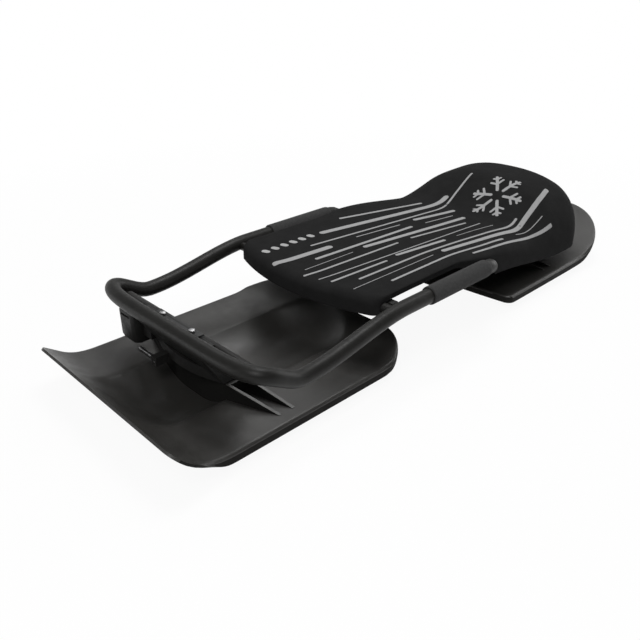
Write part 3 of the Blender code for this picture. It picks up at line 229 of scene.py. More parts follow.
SEAT_INSETS = (0.0, 0.0004, 0.0012, 0.0025, 0.0045, 0.0072, 0.0108, 0.0160)
PAD_THICKNESS = 0.007
SHELL_THICKNESS = 0.0025
SKIN_GAP = 0.0006
POST_Y = 0.362
POST_HALF_WIDTH = 0.010
POST_CLEARANCE = 0.0036
POST_LOW = REAR_RAIL_Z + TUBE_RADIUS + POST_CLEARANCE
POST_BLANK_TOP = 0.25
POST_BORE_LOW = 0.10
POST_SCREW_TOP = 0.150
SCREW_RADIUS = 0.0020

# Stripes on the pad, each a width and its plan points in millimetres
MM_PER_M = 1000
WIDE, THICK, BROAD, MEDIUM, THIN, FINE = 12.2, 9.0, 6.8, 4.5, 2.4, 1.4
STRIPES = (
    (BROAD, (-124, 16), (-70, 208)),
    (WIDE, (-93, -67), (-43, 215), (-45, 261)),
    (MEDIUM, (-60, -122), (-28, 146), (-19, 213), (-31, 253), (-36, 332)),
    (WIDE, (-46, -221), (-40, -201), (-32, -96)),
    (THIN, (-33, -32), (-18, 75)),
    (BROAD, (-10, -158), (4, 85)),
    (THICK, (-17, 114), (7, 217)),
    (THIN, (9, 119), (22, 190)),
    (FINE, (10, -201), (13, -89)),
    (THICK, (10, -59), (45, 198)),
    (MEDIUM, (26, -219), (30, -196), (39, 2)),
    (MEDIUM, (40, 36), (64, 175)),
    (THIN, (53, -211), (56, -188), (84, 193)),
    (MEDIUM, (73, -203), (79, -74)),
    (BROAD, (74, -46), (90, 74)),
    (FINE, (92, 106), (105, 206)),
    (MEDIUM, (97, -164), (101, 0), (110, 82), (118, 136), (126, 230), (120, 265)),
    (FINE, (116, -197), (118, 2)),
    (MEDIUM, (137, -131), (138, 24), (151, 102), (153, 167)),
    (THICK, (118, 26), (133, 118), (136, 154), (140, 235), (132, 273), (124, 339), (113, 385)),
    (FINE, (150, 217), (153, 257), (148, 314)),
    (MEDIUM, (160, 59), (164, 87), (166, 120), (162, 246), (165, 282), (165, 325)),
)
PRINT_LIFT = 0.0003
PRINT_STEP = 0.005
PRINT_BEND = 0.022
PRINT_BEND_STEPS = 8
PRINT_END_STEPS = 5
PRINT_LEAST_HALF = 0.00015
RAY_HEIGHT = 0.4

# Other prints, in metres
FLAKE_CENTRE = (0.054, 0.293)
FLAKE_RADIUS = 0.050
FLAKE_HUB = 0.010
FLAKE_STRETCH = (1.0, 1.25)
FLAKE_TURN = 0.2
FLAKE_ARM_WIDTH = 0.0062
FLAKE_TWIG_WIDTH = 0.0046
FLAKE_TWIG_TURN = math.pi / 3.4
FLAKE_TWIGS = ((0.52, 0.016), (0.78, 0.010))
LOZENGE_X = -0.0955
LOZENGE_START_Y = -0.198
LOZENGE_STEP = 0.0215
LOZENGE_COUNT = 6
LOZENGE_WIDTH = 0.011
LOZENGE_HALF_LENGTH = 0.008
LOZENGE_LEAN = 0.004

# Noise of the finishes: its detail, the spans that are used of it, and gloss against tone
TONE_DETAIL = 5.0
FINE_DETAIL = 3.0
TONE_SPAN = (0.35, 0.65)
GLOSS_SPAN = (0.3, 0.7)
GLOSS_TO_TONE = 6
SHEEN_ROUGHNESS = 0.5

# Room
WORLD_LEVEL = 0.04
SKY_REFLECTED = 0.10
FLOOR_HALF = 30.0
FLOOR_Z = -0.0005
FLOOR_COLOUR = (0.90, 0.90, 0.90, 1.0)
FLOOR_ROUGHNESS = 0.9
SHADOW_NEAR = 0.6
SHADOW_FAR = 1.5
SHADOW_WHITE = 0.93

# Lamps, all aimed at one point: the place, the size and the power of each
LAMP_AIM = (0, 0, 0.05)
LAMPS = {
    "overhead": ((-0.2, 0.3, 2.2), (1.0, 1.0), 26.0),
    "overhead_rear": ((0.0, 1.7, 2.0), (1.2, 1.0), 9.0),
    "high_left": ((-1.8, 0.9, 1.8), (0.8, 0.8), 4.2),
    "left_wall": ((-3.0, 3.0, 1.3), (4.0, 2.0), 8.0),
    "back_wall": ((0.6, 4.2, 1.0), (3.0, 2.0), 55.0),
    "side_wall": ((-4.2, -0.2, 1.0), (3.0, 2.0), 12.0),
    "front_low": ((-1.8, -2.8, 0.5), (1.5, 0.8), 12.0),
    "front_key": ((1.0, -1.7, 2.1), (1.2, 1.2), 34.0),
}

# Camera, solved from the photograph
CAMERA_PLACE = (0.7623, -0.8952, 0.5980)
CAMERA_TILT = math.radians(90 - 28.2243)
CAMERA_TURN = math.radians(45.9077)
CAMERA_LENS = 38.13


# Plain functions

def smooth(value, low, high):
    """Ease from 0 at low to 1 at high."""
    q = min(1.0, max(0.0, (value - low) / (high - low)))
    return q * q * (3 - 2 * q)


def soft_ramp(value, start, knee):
    """Zero before start and a unit slope after it, with a rounded knee."""
    q = value - start
    return (q + math.hypot(q, knee)) / 2


def fillet(x, half_width, radius):
    """How far a rounded corner pulls an end edge back at x."""
    over = max(0.0, min(radius, abs(x) - (half_width - radius)))
    return radius - math.sqrt(radius * radius - over * over)


def arch(share, power):
    """Height share of a rounded section, 1 in the middle and 0 at its edge."""
    return max(0.0, 1 - min(1.0, share) ** power) ** (1 / power)


def quarter(steps):
    """The angles of a quarter turn, from 0 to 90 degrees."""
    return [math.pi / 2 * step / steps for step in range(steps + 1)]


# Mesh helpers

def from_bmesh(name, shape):
    """Make an object of a shape, and free the shape."""
    mesh = bpy.data.meshes.new(name)
    shape.to_mesh(mesh)
    shape.free()
    piece = bpy.data.objects.new(name, mesh)
    bpy.context.scene.collection.objects.link(piece)
    return piece


def cylinder(name, start, end, radius):
    start, end = Vector(start), Vector(end)
    turn = (end - start).to_track_quat("Z", "Y").to_matrix().to_4x4()
    shape = bmesh.new()
    bmesh.ops.create_cone(shape, cap_ends=True, segments=ROUND_SIDES, radius1=radius,
                          radius2=radius, depth=(end - start).length,
                          matrix=Matrix.Translation((start + end) / 2) @ turn)
    return from_bmesh(name, shape)


def block(name, low, high):
    low, high = Vector(low), Vector(high)
    size = Matrix.Diagonal((*(high - low), 1.0))
    shape = bmesh.new()
    bmesh.ops.create_cube(shape, size=1.0, matrix=Matrix.Translation((low + high) / 2) @ size)
    return from_bmesh(name, shape)


def prism(name, outline, low, high, plane="plan"):
    """A flat outline run from low to high: up from a plan outline, or along Y from a front one."""
    shape = bmesh.new()
    if plane == "plan":
        corners = [shape.verts.new((u, v, low)) for u, v in outline]
        reach = Vector((0, 0, high - low))
    else:
        corners = [shape.verts.new((u, low, v)) for u, v in outline]
        reach = Vector((0, high - low, 0))
    face = shape.faces.new(corners)
    made = bmesh.ops.extrude_face_region(shape, geom=[face])["geom"]
    moved = [item for item in made if isinstance(item, bmesh.types.BMVert)]
    bmesh.ops.translate(shape, vec=reach, verts=moved)
    bmesh.ops.recalc_face_normals(shape, faces=shape.faces)
    return from_bmesh(name, shape)


def boolean(target, operation, *others):
    """Add the modifiers that join the others to a target or cut them from it."""
    for other in others:
        modifier = target.modifiers.new(operation.lower(), "BOOLEAN")
        modifier.operation = operation
        modifier.object = other
    return target


def settle(piece, *spent):
    """Apply a piece's modifiers and remove the shapes that they used."""
    bpy.context.view_layer.update()
    evaluated = piece.evaluated_get(bpy.context.evaluated_depsgraph_get())
    mesh = bpy.data.meshes.new_from_object(evaluated)
    piece.modifiers.clear()
    piece.data = mesh
    for other in spent:
        bpy.data.objects.remove(other, do_unlink=True)
    return piece


def shade(piece, angle):
    """Shade a piece smooth, apart from edges over an angle in degrees."""
    piece.data.shade_smooth()
    piece.data.set_sharp_from_angle(angle=math.radians(angle))
    return piece


def spread(index, count, insets, half):
    """Grid step to a share of the half size, with the first steps at the given insets."""
    edge = min(index, count - index)
    side = -1 if index < count / 2 else 1
    if edge < len(insets):
        return side * (1 - insets[edge] / half)
    first = len(insets) - 1
    return (1 - insets[-1] / half) * (2 * (index - first) / (count - 2 * first) - 1)


def add_sheet(shape, size, counts, insets, place):
    """Add a surface made from a grid. place(s, t, edge step) gives the point of each corner."""
    columns, rows = counts
    made = bmesh.ops.create_grid(shape, x_segments=columns, y_segments=rows, size=1.0)["verts"]
    for vertex in made:
        i = round((vertex.co.x + 1) / 2 * columns)
        j = round((vertex.co.y + 1) / 2 * rows)
        edge = min(i, columns - i, j, rows - j)
        s, t = spread(i, columns, insets, size[0]), spread(j, rows, insets, size[1])
        vertex.co = place(s, t, edge)


def sheet(name, size, counts, insets, place):
    """An open surface that faces up."""
    shape = bmesh.new()
    add_sheet(shape, size, counts, insets, place)
    bmesh.ops.recalc_face_normals(shape, faces=shape.faces)
    if sum(face.normal.z for face in shape.faces) < 0:
        bmesh.ops.reverse_faces(shape, faces=shape.faces)
    return from_bmesh(name, shape)


def layer(name, size, counts, insets, outer, inner):
    """A closed skin between an outer surface and an inner one, joined round their edges."""
    shape = bmesh.new()
    add_sheet(shape, size, counts, insets, outer)
    add_sheet(shape, size, counts, insets, inner)
    bmesh.ops.bridge_loops(shape, edges=[edge for edge in shape.edges if edge.is_boundary])
    bmesh.ops.recalc_face_normals(shape, faces=shape.faces)
    return from_bmesh(name, shape)


def close_to(surface, level):
    """Make a solid of all that lies between a surface and a level."""
    shape = bmesh.new()
    shape.from_mesh(surface.data)
    for item in bmesh.ops.extrude_face_region(shape, geom=shape.faces[:])["geom"]:
        if isinstance(item, bmesh.types.BMVert):
            item.co.z = level
    bmesh.ops.recalc_face_normals(shape, faces=shape.faces)
    shape.to_mesh(surface.data)
    shape.free()
    return surface


def tube_loop(name, points, radius):
    """A round tube along points, joined end to end."""
    curve = bpy.data.curves.new(name, "CURVE")
    curve.dimensions = "3D"
    curve.bevel_depth = radius
    curve.bevel_resolution = TUBE_RESOLUTION
    spline = curve.splines.new("POLY")
    spline.points.add(len(points) - 1)
    for point, place in zip(spline.points, points):
        point.co = (*place, 1)
    spline.use_cyclic_u = True
    piece = bpy.data.objects.new(name, curve)
    bpy.context.scene.collection.objects.link(piece)
    bpy.context.view_layer.update()
    evaluated = piece.evaluated_get(bpy.context.evaluated_depsgraph_get())
    mesh = bpy.data.meshes.new_from_object(evaluated)
    bpy.data.objects.remove(piece, do_unlink=True)
    shape = bmesh.new()
    shape.from_mesh(mesh)
    bmesh.ops.remove_doubles(shape, verts=shape.verts, dist=WELD)
    bmesh.ops.recalc_face_normals(shape, faces=shape.faces)
    return from_bmesh(name, shape)


def join_rings(shape, one, two):
    """Span two closed rings of as many corners with faces."""
    for k in range(len(one)):
        after = (k + 1) % len(one)
        shape.faces.new((one[k], one[after], two[after], two[k]))


def turned(name, profile, place):
    """A closed profile of radius and distance, turned about the Y axis through place."""
    shape = bmesh.new()
    rings = []
    for step in range(TURNED_SIDES):
        angle = 2 * math.pi * step / TURNED_SIDES
        rings.append([shape.verts.new((place[0] + r * math.cos(angle), place[1] + d,
                                       place[2] + r * math.sin(angle))) for r, d in profile])
    for one, two in zip(rings, rings[1:] + rings[:1]):
        join_rings(shape, one, two)
    bmesh.ops.recalc_face_normals(shape, faces=shape.faces)
    return from_bmesh(name, shape)


# Skis

def rim_insets(draft, radius):
    """Inset of each grid step from the edge, for a rounded rim with a little draft."""
    return [0.0] + [draft + radius * (1 - math.cos(turn)) for turn in quarter(RIM_STEPS)]


def rim_drop(edge, depth, radius):
    """Height lost at each grid step from the edge of a rounded, turned-down rim."""
    if edge == 0:
        return depth
    turn = math.pi / 2 * min(1.0, (edge - 1) / RIM_STEPS)
    return min(radius, LIP_ROUND_SHARE * depth) * (1 - math.sin(turn))


def channel(x, y, end):
    """Depth share of the ski's central channel: 1 on its flat floor, 0 on the wings."""
    away = max(0.0, math.hypot(x, max(0.0, y - end)) - CHANNEL_FLOOR_HALF)
    return max(0.0, 1 - (away / (CHANNEL_HALF - CHANNEL_FLOOR_HALF)) ** 2)


def front_ski_top(x, y):
    """Height of the front ski's top: its wings, channel, curled nose and raised tail."""
    floor = channel(x, y, FRONT_MOUNT_Y + FRONT_CHANNEL_TAIL)
    floor *= smooth(y, FRONT_END + CHANNEL_FADE_START, FRONT_END + CHANNEL_FADE_END)
    curl = max(0.0, (FRONT_END + FRONT_CURL_RUN - y) / FRONT_CURL_RUN)
    tail_start = FRONT_MOUNT_Y + FRONT_SKI_TAIL - FRONT_TAIL_RUN
    tail = max(0.0, (y - tail_start) / FRONT_TAIL_RUN)
    rise = FRONT_CURL_RISE * curl ** FRONT_CURL_POWER + FRONT_TAIL_RISE * tail ** 2
    return WING_TOP - (WING_TOP - SKI_WALL) * floor + rise


def rear_ski_top(x, y):
    """Height of the rear ski's top: its wings, channel and tail ramp."""
    floor = channel(x, y, REAR_MOUNT_Y + REAR_CHANNEL_TAIL)
    start = REAR_END - REAR_RAMP_RUN
    ramp = soft_ramp(y, start, REAR_RAMP_KNEE) - soft_ramp(REAR_MOUNT_Y, start, REAR_RAMP_KNEE)
    return WING_TOP - (WING_TOP - SKI_WALL) * floor + REAR_RAMP_SLOPE * max(0.0, ramp)


def front_ski_plan(s, t):
    """Plan position on the front ski, from shares of its half width and half length."""
    x = s * SKI_HALF_WIDTH
    low = FRONT_END + FRONT_NOSE + fillet(x, SKI_HALF_WIDTH, FRONT_CORNER)
    high = FRONT_MOUNT_Y + FRONT_SKI_TAIL - fillet(x, SKI_HALF_WIDTH, FRONT_TAIL_CORNER)
    return x, low + (high - low) * (t + 1) / 2


def rear_ski_plan(s, t):
    """Plan position on the rear ski, whose front edge is bowed."""
    x = s * SKI_HALF_WIDTH
    low = REAR_MOUNT_Y - REAR_SKI_LEAD + REAR_FRONT_BOW * x * x
    low += fillet(x, SKI_HALF_WIDTH, REAR_CORNER)
    high = REAR_END - fillet(x, SKI_HALF_WIDTH, REAR_TAIL_CORNER)
    return x, low + (high - low) * (t + 1) / 2


def front_lip(y):
    """Share of the full lip along the front ski: none at the nose, less at the tail."""
    tail_y = FRONT_MOUNT_Y + FRONT_SKI_TAIL
    behind_nose = smooth(y, FRONT_END + FRONT_LIP_START, FRONT_END + FRONT_LIP_FULL)
    at_tail = smooth(y, tail_y - FRONT_LIP_FADE_START, tail_y - FRONT_LIP_FADE_END)
    return behind_nose * (1 - (1 - TAIL_LIP_SHARE) * at_tail)


def rear_lip(y):
    """Share of the full lip along the rear ski: less at the tail."""
    at_tail = smooth(y, REAR_END - REAR_LIP_FADE_START, REAR_END - REAR_LIP_FADE_END)
    return 1 - (1 - TAIL_LIP_SHARE) * at_tail


def ski_surface(name, plan, top, lip, length, sink=0.0):
    """The top of a ski, or a surface that lies a sink below it."""
    def place(s, t, edge):
        x, y = plan(s, t)
        z = top(x, y)
        depth = min(LIP_DROP * lip(y), z - SKI_WALL)
        return x, y, z - sink - rim_drop(edge, depth, LIP_ROUND)
    insets = rim_insets(RIM_DRAFT, LIP_ROUND)
    return sheet(name, (SKI_HALF_WIDTH, length / 2), SKI_COUNTS, insets, place)


def pedestal(mount_y, hubs, core):
    """Ribs, cross walls and hubs that stand on a ski."""
    depth, tip = PEDESTAL_HALF_DEPTH, RIB_TIP_HALF
    left = [(PEDESTAL_HALF_WIDTH, -depth), (RIB_REACH, RIB_SWEEP - tip),
            (RIB_REACH, RIB_SWEEP + tip), (PEDESTAL_HALF_WIDTH, depth)]
    outline = left + [(-x, y) for x, y in reversed(left)]
    thin, thin_tip = depth - RIB_WALL, tip - RIB_WALL
    inner, outer = PEDESTAL_HALF_WIDTH - RIB_WALL / 2, PEDESTAL_HALF_WIDTH + RIB_WALL / 2
    end = RIB_REACH + POCKET_OVERRUN
    start = RIB_SWEEP * (outer - PEDESTAL_HALF_WIDTH) / (RIB_REACH - PEDESTAL_HALF_WIDTH)
    pockets = [[(-inner, -thin), (inner, -thin), (inner, thin), (-inner, thin)]]
    for side in (1, -1):
        pockets.append([(side * outer, start - thin), (side * outer, start + thin),
                        (side * end, RIB_SWEEP + thin_tip), (side * end, RIB_SWEEP - thin_tip)])

    def placed(points):
        return [(x, y + mount_y) for x, y in points]
    body = prism("pedestal", placed(outline), 0.0, PEDESTAL_BLANK_TOP)
    cutters = [prism("pocket", placed(pocket), CUT_LOW, CUT_HIGH) for pocket in pockets]
    slope = [(PEDESTAL_HALF_WIDTH, PEDESTAL_TOP), (RIB_REACH, RIB_TIP_Z),
             (SLOPE_HALF_WIDTH, RIB_TIP_Z)]
    slope += [(SLOPE_HALF_WIDTH, SLOPE_HIGH), (-SLOPE_HALF_WIDTH, SLOPE_HIGH)]
    slope += [(-x, z) for x, z in reversed(slope[:3])]
    cutters.append(prism("slope", slope, mount_y - SLOPE_HALF_DEPTH, mount_y + SLOPE_HALF_DEPTH,
                         "front"))
    boolean(body, "DIFFERENCE", *cutters)
    added = [block("web", (-PEDESTAL_HALF_WIDTH, mount_y - RIB_WALL / 2, PEDESTAL_FOOT),
                   (PEDESTAL_HALF_WIDTH, mount_y + RIB_WALL / 2, WEB_TOP))]
    added += [cylinder("hub", (x, mount_y, PEDESTAL_FOOT), (x, mount_y, HUB_TOP), radius)
              for x, radius in hubs]
    boolean(body, "UNION", *added)
    boolean(body, "DIFFERENCE", core)
    return settle(body, core, *cutters, *added)


def ski(name, surface, mount_y, hubs, bolts, holes=()):
    """A ski with its pedestal, its nut pockets and its bores."""
    piece = ski_surface(name, *surface)
    wall = piece.modifiers.new("wall", "SOLIDIFY")
    wall.thickness = SKI_WALL
    wall.offset = -1.0
    wall.use_even_offset = True
    core = close_to(ski_surface(name + "_core", *surface, sink=SKI_WALL / 2), CORE_LOW)
    stand = pedestal(mount_y, hubs, core)
    boolean(piece, "UNION", stand)
    cutters = []
    for x in bolts:
        cutters.append(cylinder("pocket", (x, mount_y, CUT_LOW), (x, mount_y, NUT_POCKET_TOP),
                                NUT_POCKET_RADIUS))
        cutters.append(cylinder("bore", (x, mount_y, 0.0), (x, mount_y, CUT_HIGH),
                                BOLT_RADIUS + TOUCH_GAP))
    cutters += [cylinder("hole", (x, mount_y, low), (x, mount_y, CUT_HIGH), radius + TOUCH_GAP)
                for x, low, radius in holes]
    boolean(piece, "DIFFERENCE", *cutters)
    return shade(settle(piece, stand, *cutters), angle=28)


# Frame tube and grips

def rail_height(y):
    """Height of the frame tube's axis along the sled."""
    if y < DIP_Y:
        return BAR_Z + (DIP_Z - BAR_Z) * smooth(y, BAR_DROP_Y, DIP_Y)
    if y < TUCK_START_Y:
        return DIP_Z + (RAIL_Z - DIP_Z) * smooth(y, DIP_Y, DIP_END_Y)
    return RAIL_Z + (REAR_RAIL_Z - RAIL_Z) * smooth(y, TUCK_START_Y, TUCK_DROP_END_Y)


def rail_offset(y):
    """Half distance between the two rails along the sled."""
    return RAIL_X + (REAR_RAIL_X - RAIL_X) * smooth(y, TUCK_START_Y, TUCK_END_Y)


def corner(steps, power, reach, start_y, end_y):
    """Plan points of a rounded corner of the loop, from the rail at start_y to the end bar."""
    points = []
    for angle in quarter(steps):
        across = max(0.0, math.cos(angle)) ** (2 / power)
        along = math.sin(angle) ** (2 / power)
        points.append((reach * across, start_y + (end_y - start_y) * along))
    return points


def frame_points():
    """Axis of the whole loop: its left half from the front bar to the rear bar, then its mirror."""
    front = corner(FRONT_BEND_STEPS, FRONT_BEND_POWER, RAIL_X, FRONT_BEND_Y, FRONT_BAR_Y)
    front.reverse()
    rail_run = REAR_BEND_Y - FRONT_BEND_Y
    ys = [FRONT_BEND_Y + rail_run * k / RAIL_STEPS for k in range(1, RAIL_STEPS)]
    rear = corner(REAR_BEND_STEPS, REAR_BEND_POWER, REAR_RAIL_X, REAR_BEND_Y, REAR_BAR_Y)
    left = front + [(rail_offset(y), y) for y in ys] + rear
    left = [(x, y, rail_height(y)) for x, y in left]
    return left + [(-x, y, z) for x, y, z in reversed(left[1:-1])]


def grip(name, side):
    """A foam sleeve with a square front end and a round rear end."""
    length = GRIP_REAR_Y - GRIP_FRONT_Y
    inner = TUBE_RADIUS + TOUCH_GAP
    front, rear = GRIP_FRONT_ROUND, GRIP_REAR_ROUND
    profile = [(inner, 0.0), (inner, length)]
    reach = GRIP_RADIUS - inner - GRIP_END_WALL
    for angle in quarter(GRIP_REAR_STEPS):
        profile.append((inner + GRIP_END_WALL + reach * math.sin(angle),
                        length - rear + rear * math.cos(angle)))
    for k in range(1, GRIP_ROWS):
        profile.append((GRIP_RADIUS, front + (length - rear - front) * (1 - k / GRIP_ROWS)))
    for angle in quarter(GRIP_FRONT_STEPS):
        profile.append((GRIP_RADIUS - GRIP_FRONT_DEPTH_SHARE * front * (1 - math.cos(angle)),
                        front * (1 - math.sin(angle))))
    place = (side * RAIL_X, GRIP_FRONT_Y, RAIL_Z)
    return shade(turned(name, profile, place), angle=50)


# Seat

def seat_top(y):
    """Height of the seat along the sled, before its crown: flat, a ramp, then the tail pad."""
    ramp = soft_ramp(y, SEAT_RAMP_START_Y, SEAT_KNEE) - soft_ramp(y, SEAT_RAMP_END_Y, SEAT_KNEE)
    return SEAT_TOP + SEAT_RAMP_SLOPE * ramp


def seat_half_width(y):
    """Half width along the sled: a slight flare in front, the waist, then the hips."""
    front = SEAT_FRONT_FLARE * (1 - smooth(y, SEAT_FRONT_Y, SEAT_FRONT_Y + SEAT_FLARE_RUN))
    hip = (SEAT_HIP_HALF - SEAT_WAIST_HALF) * smooth(y, SEAT_HIP_START_Y, SEAT_HIP_END_Y)
    return SEAT_WAIST_HALF + front + hip


def seat_plan(s, t, inset):
    """Plan position on a layer that lies an inset inside the seat's outline, and its Y ends."""
    x = s * SEAT_WAIST_HALF
    low = SEAT_FRONT_Y + SEAT_FRONT_ARC * x * x + fillet(x, SEAT_WAIST_HALF, SEAT_FRONT_CORNER)
    high = SEAT_REAR_Y - fillet(x, SEAT_WAIST_HALF, SEAT_REAR_CORNER)
    share = (t + 1) / 2
    share += SEAT_TAIL_CROWDING * share * (1 - share)
    y = low + inset + (high - low - 2 * inset) * share
    return s * (seat_half_width(y) - inset), y, low + inset, high - inset


def seat_bottom(y):
    """Lower edge of the seat's sides: a front apron, a thin waist, deep skirts behind."""
    waist = seat_top(y) - WAIST_EDGE_DEPTH
    sloped = smooth(y, SKIRT_SLOPE_START_Y, SKIRT_SLOPE_END_Y)
    skirt = SKIRT_FRONT_BOTTOM + (SKIRT_REAR_BOTTOM - SKIRT_FRONT_BOTTOM) * sloped
    past_apron = smooth(y, MID_CROSS_Y - APRON_FADE_START, MID_CROSS_Y - APRON_FADE_END)
    side = APRON_BOTTOM + (waist - APRON_BOTTOM) * past_apron
    return side + (skirt - side) * smooth(y, SKIRT_START_Y, SKIRT_FULL_Y)


def seat_layer(inset):
    """A surface of the seat: flat at the waist, arched over the hips, round at the tail."""
    def place(s, t, _edge):
        x, y, front_y, rear_y = seat_plan(s, t, inset)
        low = seat_bottom(y)
        if t <= -1:
            return x, y, APRON_BOTTOM
        dome = smooth(y, SEAT_DOME_START_Y, SEAT_DOME_END_Y)
        power = 1 / ((1 - dome) / SEAT_FLATNESS + dome / SEAT_DOME)
        tail = arch(max(0.0, 1 - (rear_y - y) / SEAT_TAIL_RUN), SEAT_TAIL_POWER)
        z = low + (seat_top(y) - inset - low) * arch(abs(s), power) * tail
        radius = max(SEAT_LEAST_ROUND, SEAT_EDGE_ROUND - inset)
        over = max(0.0, radius - (y - front_y))
        return x, y, z - radius + math.sqrt(radius * radius - over * over)
    return place


def rail_arch(side):
    """Arched passage under the seat's side for a rail, open downward."""
    turns = [math.pi * k / RAIL_ARCH_SIDES for k in range(RAIL_ARCH_SIDES + 1)]
    section = [(-RAIL_ARCH_RADIUS, -RAIL_ARCH_LEGS)]
    section += [(-RAIL_ARCH_RADIUS * math.cos(a), RAIL_ARCH_RADIUS * math.sin(a)) for a in turns]
    section.append((RAIL_ARCH_RADIUS, -RAIL_ARCH_LEGS))
    shape = bmesh.new()
    rows = []
    for k in range(RAIL_ARCH_ROWS):
        y = TUCK_START_Y + RAIL_ARCH_STEP * k
        turn_in = rail_offset(y + SLOPE_STEP) - rail_offset(y - SLOPE_STEP)
        ahead = Vector((turn_in, 2 * SLOPE_STEP)).normalized()
        rows.append([shape.verts.new((side * (rail_offset(y) + u * ahead.y), y - u * ahead.x,
                                      rail_height(y) + v)) for u, v in section])
    for one, two in zip(rows, rows[1:]):
        join_rings(shape, one, two)
    shape.faces.new(rows[0])
    shape.faces.new(rows[-1])
    bmesh.ops.recalc_face_normals(shape, faces=shape.faces)
    return from_bmesh("rail_arch", shape)


def seat():
    """The foam pad and the shell under it, with the passages for the frame."""
    grid = ((SEAT_WAIST_HALF, (SEAT_REAR_Y - SEAT_FRONT_Y) / 2), SEAT_COUNTS, SEAT_INSETS)
    outside = PAD_THICKNESS + SKIN_GAP
    inside = outside + SHELL_THICKNESS
    pad = layer("foam_pad", *grid, seat_layer(0.0), seat_layer(PAD_THICKNESS))
    shell = layer("seat_base", *grid, seat_layer(outside), seat_layer(inside))
    under = close_to(sheet("under", *grid, seat_layer((outside + inside) / 2)), UNDER_SEAT_TOP)
    post = block("post", (-POST_HALF_WIDTH, POST_Y - POST_HALF_WIDTH, POST_LOW),
                 (POST_HALF_WIDTH, POST_Y + POST_HALF_WIDTH, POST_BLANK_TOP))
    bore = cylinder("post_bore", (0, POST_Y, POST_BORE_LOW),
                    (0, POST_Y, POST_SCREW_TOP + TOUCH_GAP), SCREW_RADIUS + TOUCH_GAP)
    boolean(post, "DIFFERENCE", under, bore)
    settle(post, under, bore)
    arches = [rail_arch(1), rail_arch(-1)]
    groove = cylinder("groove", (-GROOVE_HALF_LENGTH, MID_CROSS_Y, MID_CROSS_Z),
                      (GROOVE_HALF_LENGTH, MID_CROSS_Y, MID_CROSS_Z),
                      MID_CROSS_RADIUS + GROOVE_GAP)
    boolean(shell, "UNION", post)
    boolean(pad, "DIFFERENCE", *arches, groove)
    boolean(shell, "DIFFERENCE", *arches, groove)
    settle(pad)
    settle(shell, post, groove, *arches)
    return shade(pad, angle=40), shade(shell, angle=40)


# Prints on the pad

def bent_line(points):
    """Points along a line in plan whose bends are rounded, a step apart."""
    fine = [Vector(points[0])]
    for before, bend, after in zip(points, points[1:], points[2:]):
        before, bend, after = Vector(before), Vector(bend), Vector(after)
        start = bend + (before - bend).normalized() * PRINT_BEND
        end = bend + (after - bend).normalized() * PRINT_BEND
        for k in range(PRINT_BEND_STEPS + 1):
            q = k / PRINT_BEND_STEPS
            fine.append(start * (1 - q) ** 2 + bend * 2 * q * (1 - q) + end * q * q)
    fine.append(Vector(points[-1]))
    line = [fine[0]]
    for here, there in zip(fine, fine[1:]):
        count = max(1, math.ceil((there - here).length / PRINT_STEP))
        line += [here + (there - here) * k / count for k in range(1, count + 1)]
    return line


def round_ended(line, half):
    """Stations of a round-ended stripe: each a point, its direction and its half width."""
    total = sum((b - a).length for a, b in zip(line, line[1:]))
    count = max(2, round(total / PRINT_STEP))
    ends = [half * (1 - math.cos(angle)) for angle in quarter(PRINT_END_STEPS)]
    marks = list(set([round(m, 6) for m in ends] + [round(total - m, 6) for m in ends]))
    marks += [half + (total - 2 * half) * k / count for k in range(1, count)]
    stations, gone, index = [], 0.0, 0
    for mark in sorted(marks):
        while index < len(line) - 2 and gone + (line[index + 1] - line[index]).length < mark:
            gone += (line[index + 1] - line[index]).length
            index += 1
        ahead = (line[index + 1] - line[index]).normalized()
        short = max(0.0, half - mark, half - (total - mark))
        width = math.sqrt(max(0.0, half * half - short * short))
        stations.append((line[index] + ahead * (mark - gone), ahead, max(width, PRINT_LEAST_HALF)))
    return stations


def lay_print(shape, surface, stations):
    """Add a closed, thin strip that lies on the pad under the given stations."""
    rows = []
    for place, ahead, half in stations:
        across = Vector((-ahead.y, ahead.x))
        row = []
        for share in (-1, -0.5, 0, 0.5, 1):
            spot = place + across * half * share
            above = Vector((spot.x, spot.y, RAY_HEIGHT))
            hit, normal = surface.ray_cast(above, Vector((0, 0, -1)))[:2]
            row.append((hit + normal * PRINT_LIFT, hit - normal * PRINT_LIFT))
        rows.append([[shape.verts.new(point) for point in side] for side in zip(*row)])
    for (top, low), (next_top, next_low) in zip(rows, rows[1:]):
        for k in range(4):
            shape.faces.new((top[k], top[k + 1], next_top[k + 1], next_top[k]))
            shape.faces.new((low[k], next_low[k], next_low[k + 1], low[k + 1]))
        for k in (0, 4):
            shape.faces.new((top[k], next_top[k], next_low[k], low[k]))
    for top, low in (rows[0], rows[-1]):
        for k in range(4):
            shape.faces.new((top[k], top[k + 1], low[k + 1], low[k]))


def prints(name, surface, strokes):
    """One piece made of separate flat strips on the pad."""
    shape = bmesh.new()
    for width, points in strokes:
        lay_print(shape, surface, round_ended(bent_line(points), width / 2))
    bmesh.ops.recalc_face_normals(shape, faces=shape.faces)
    return shade(from_bmesh(name, shape), angle=50)


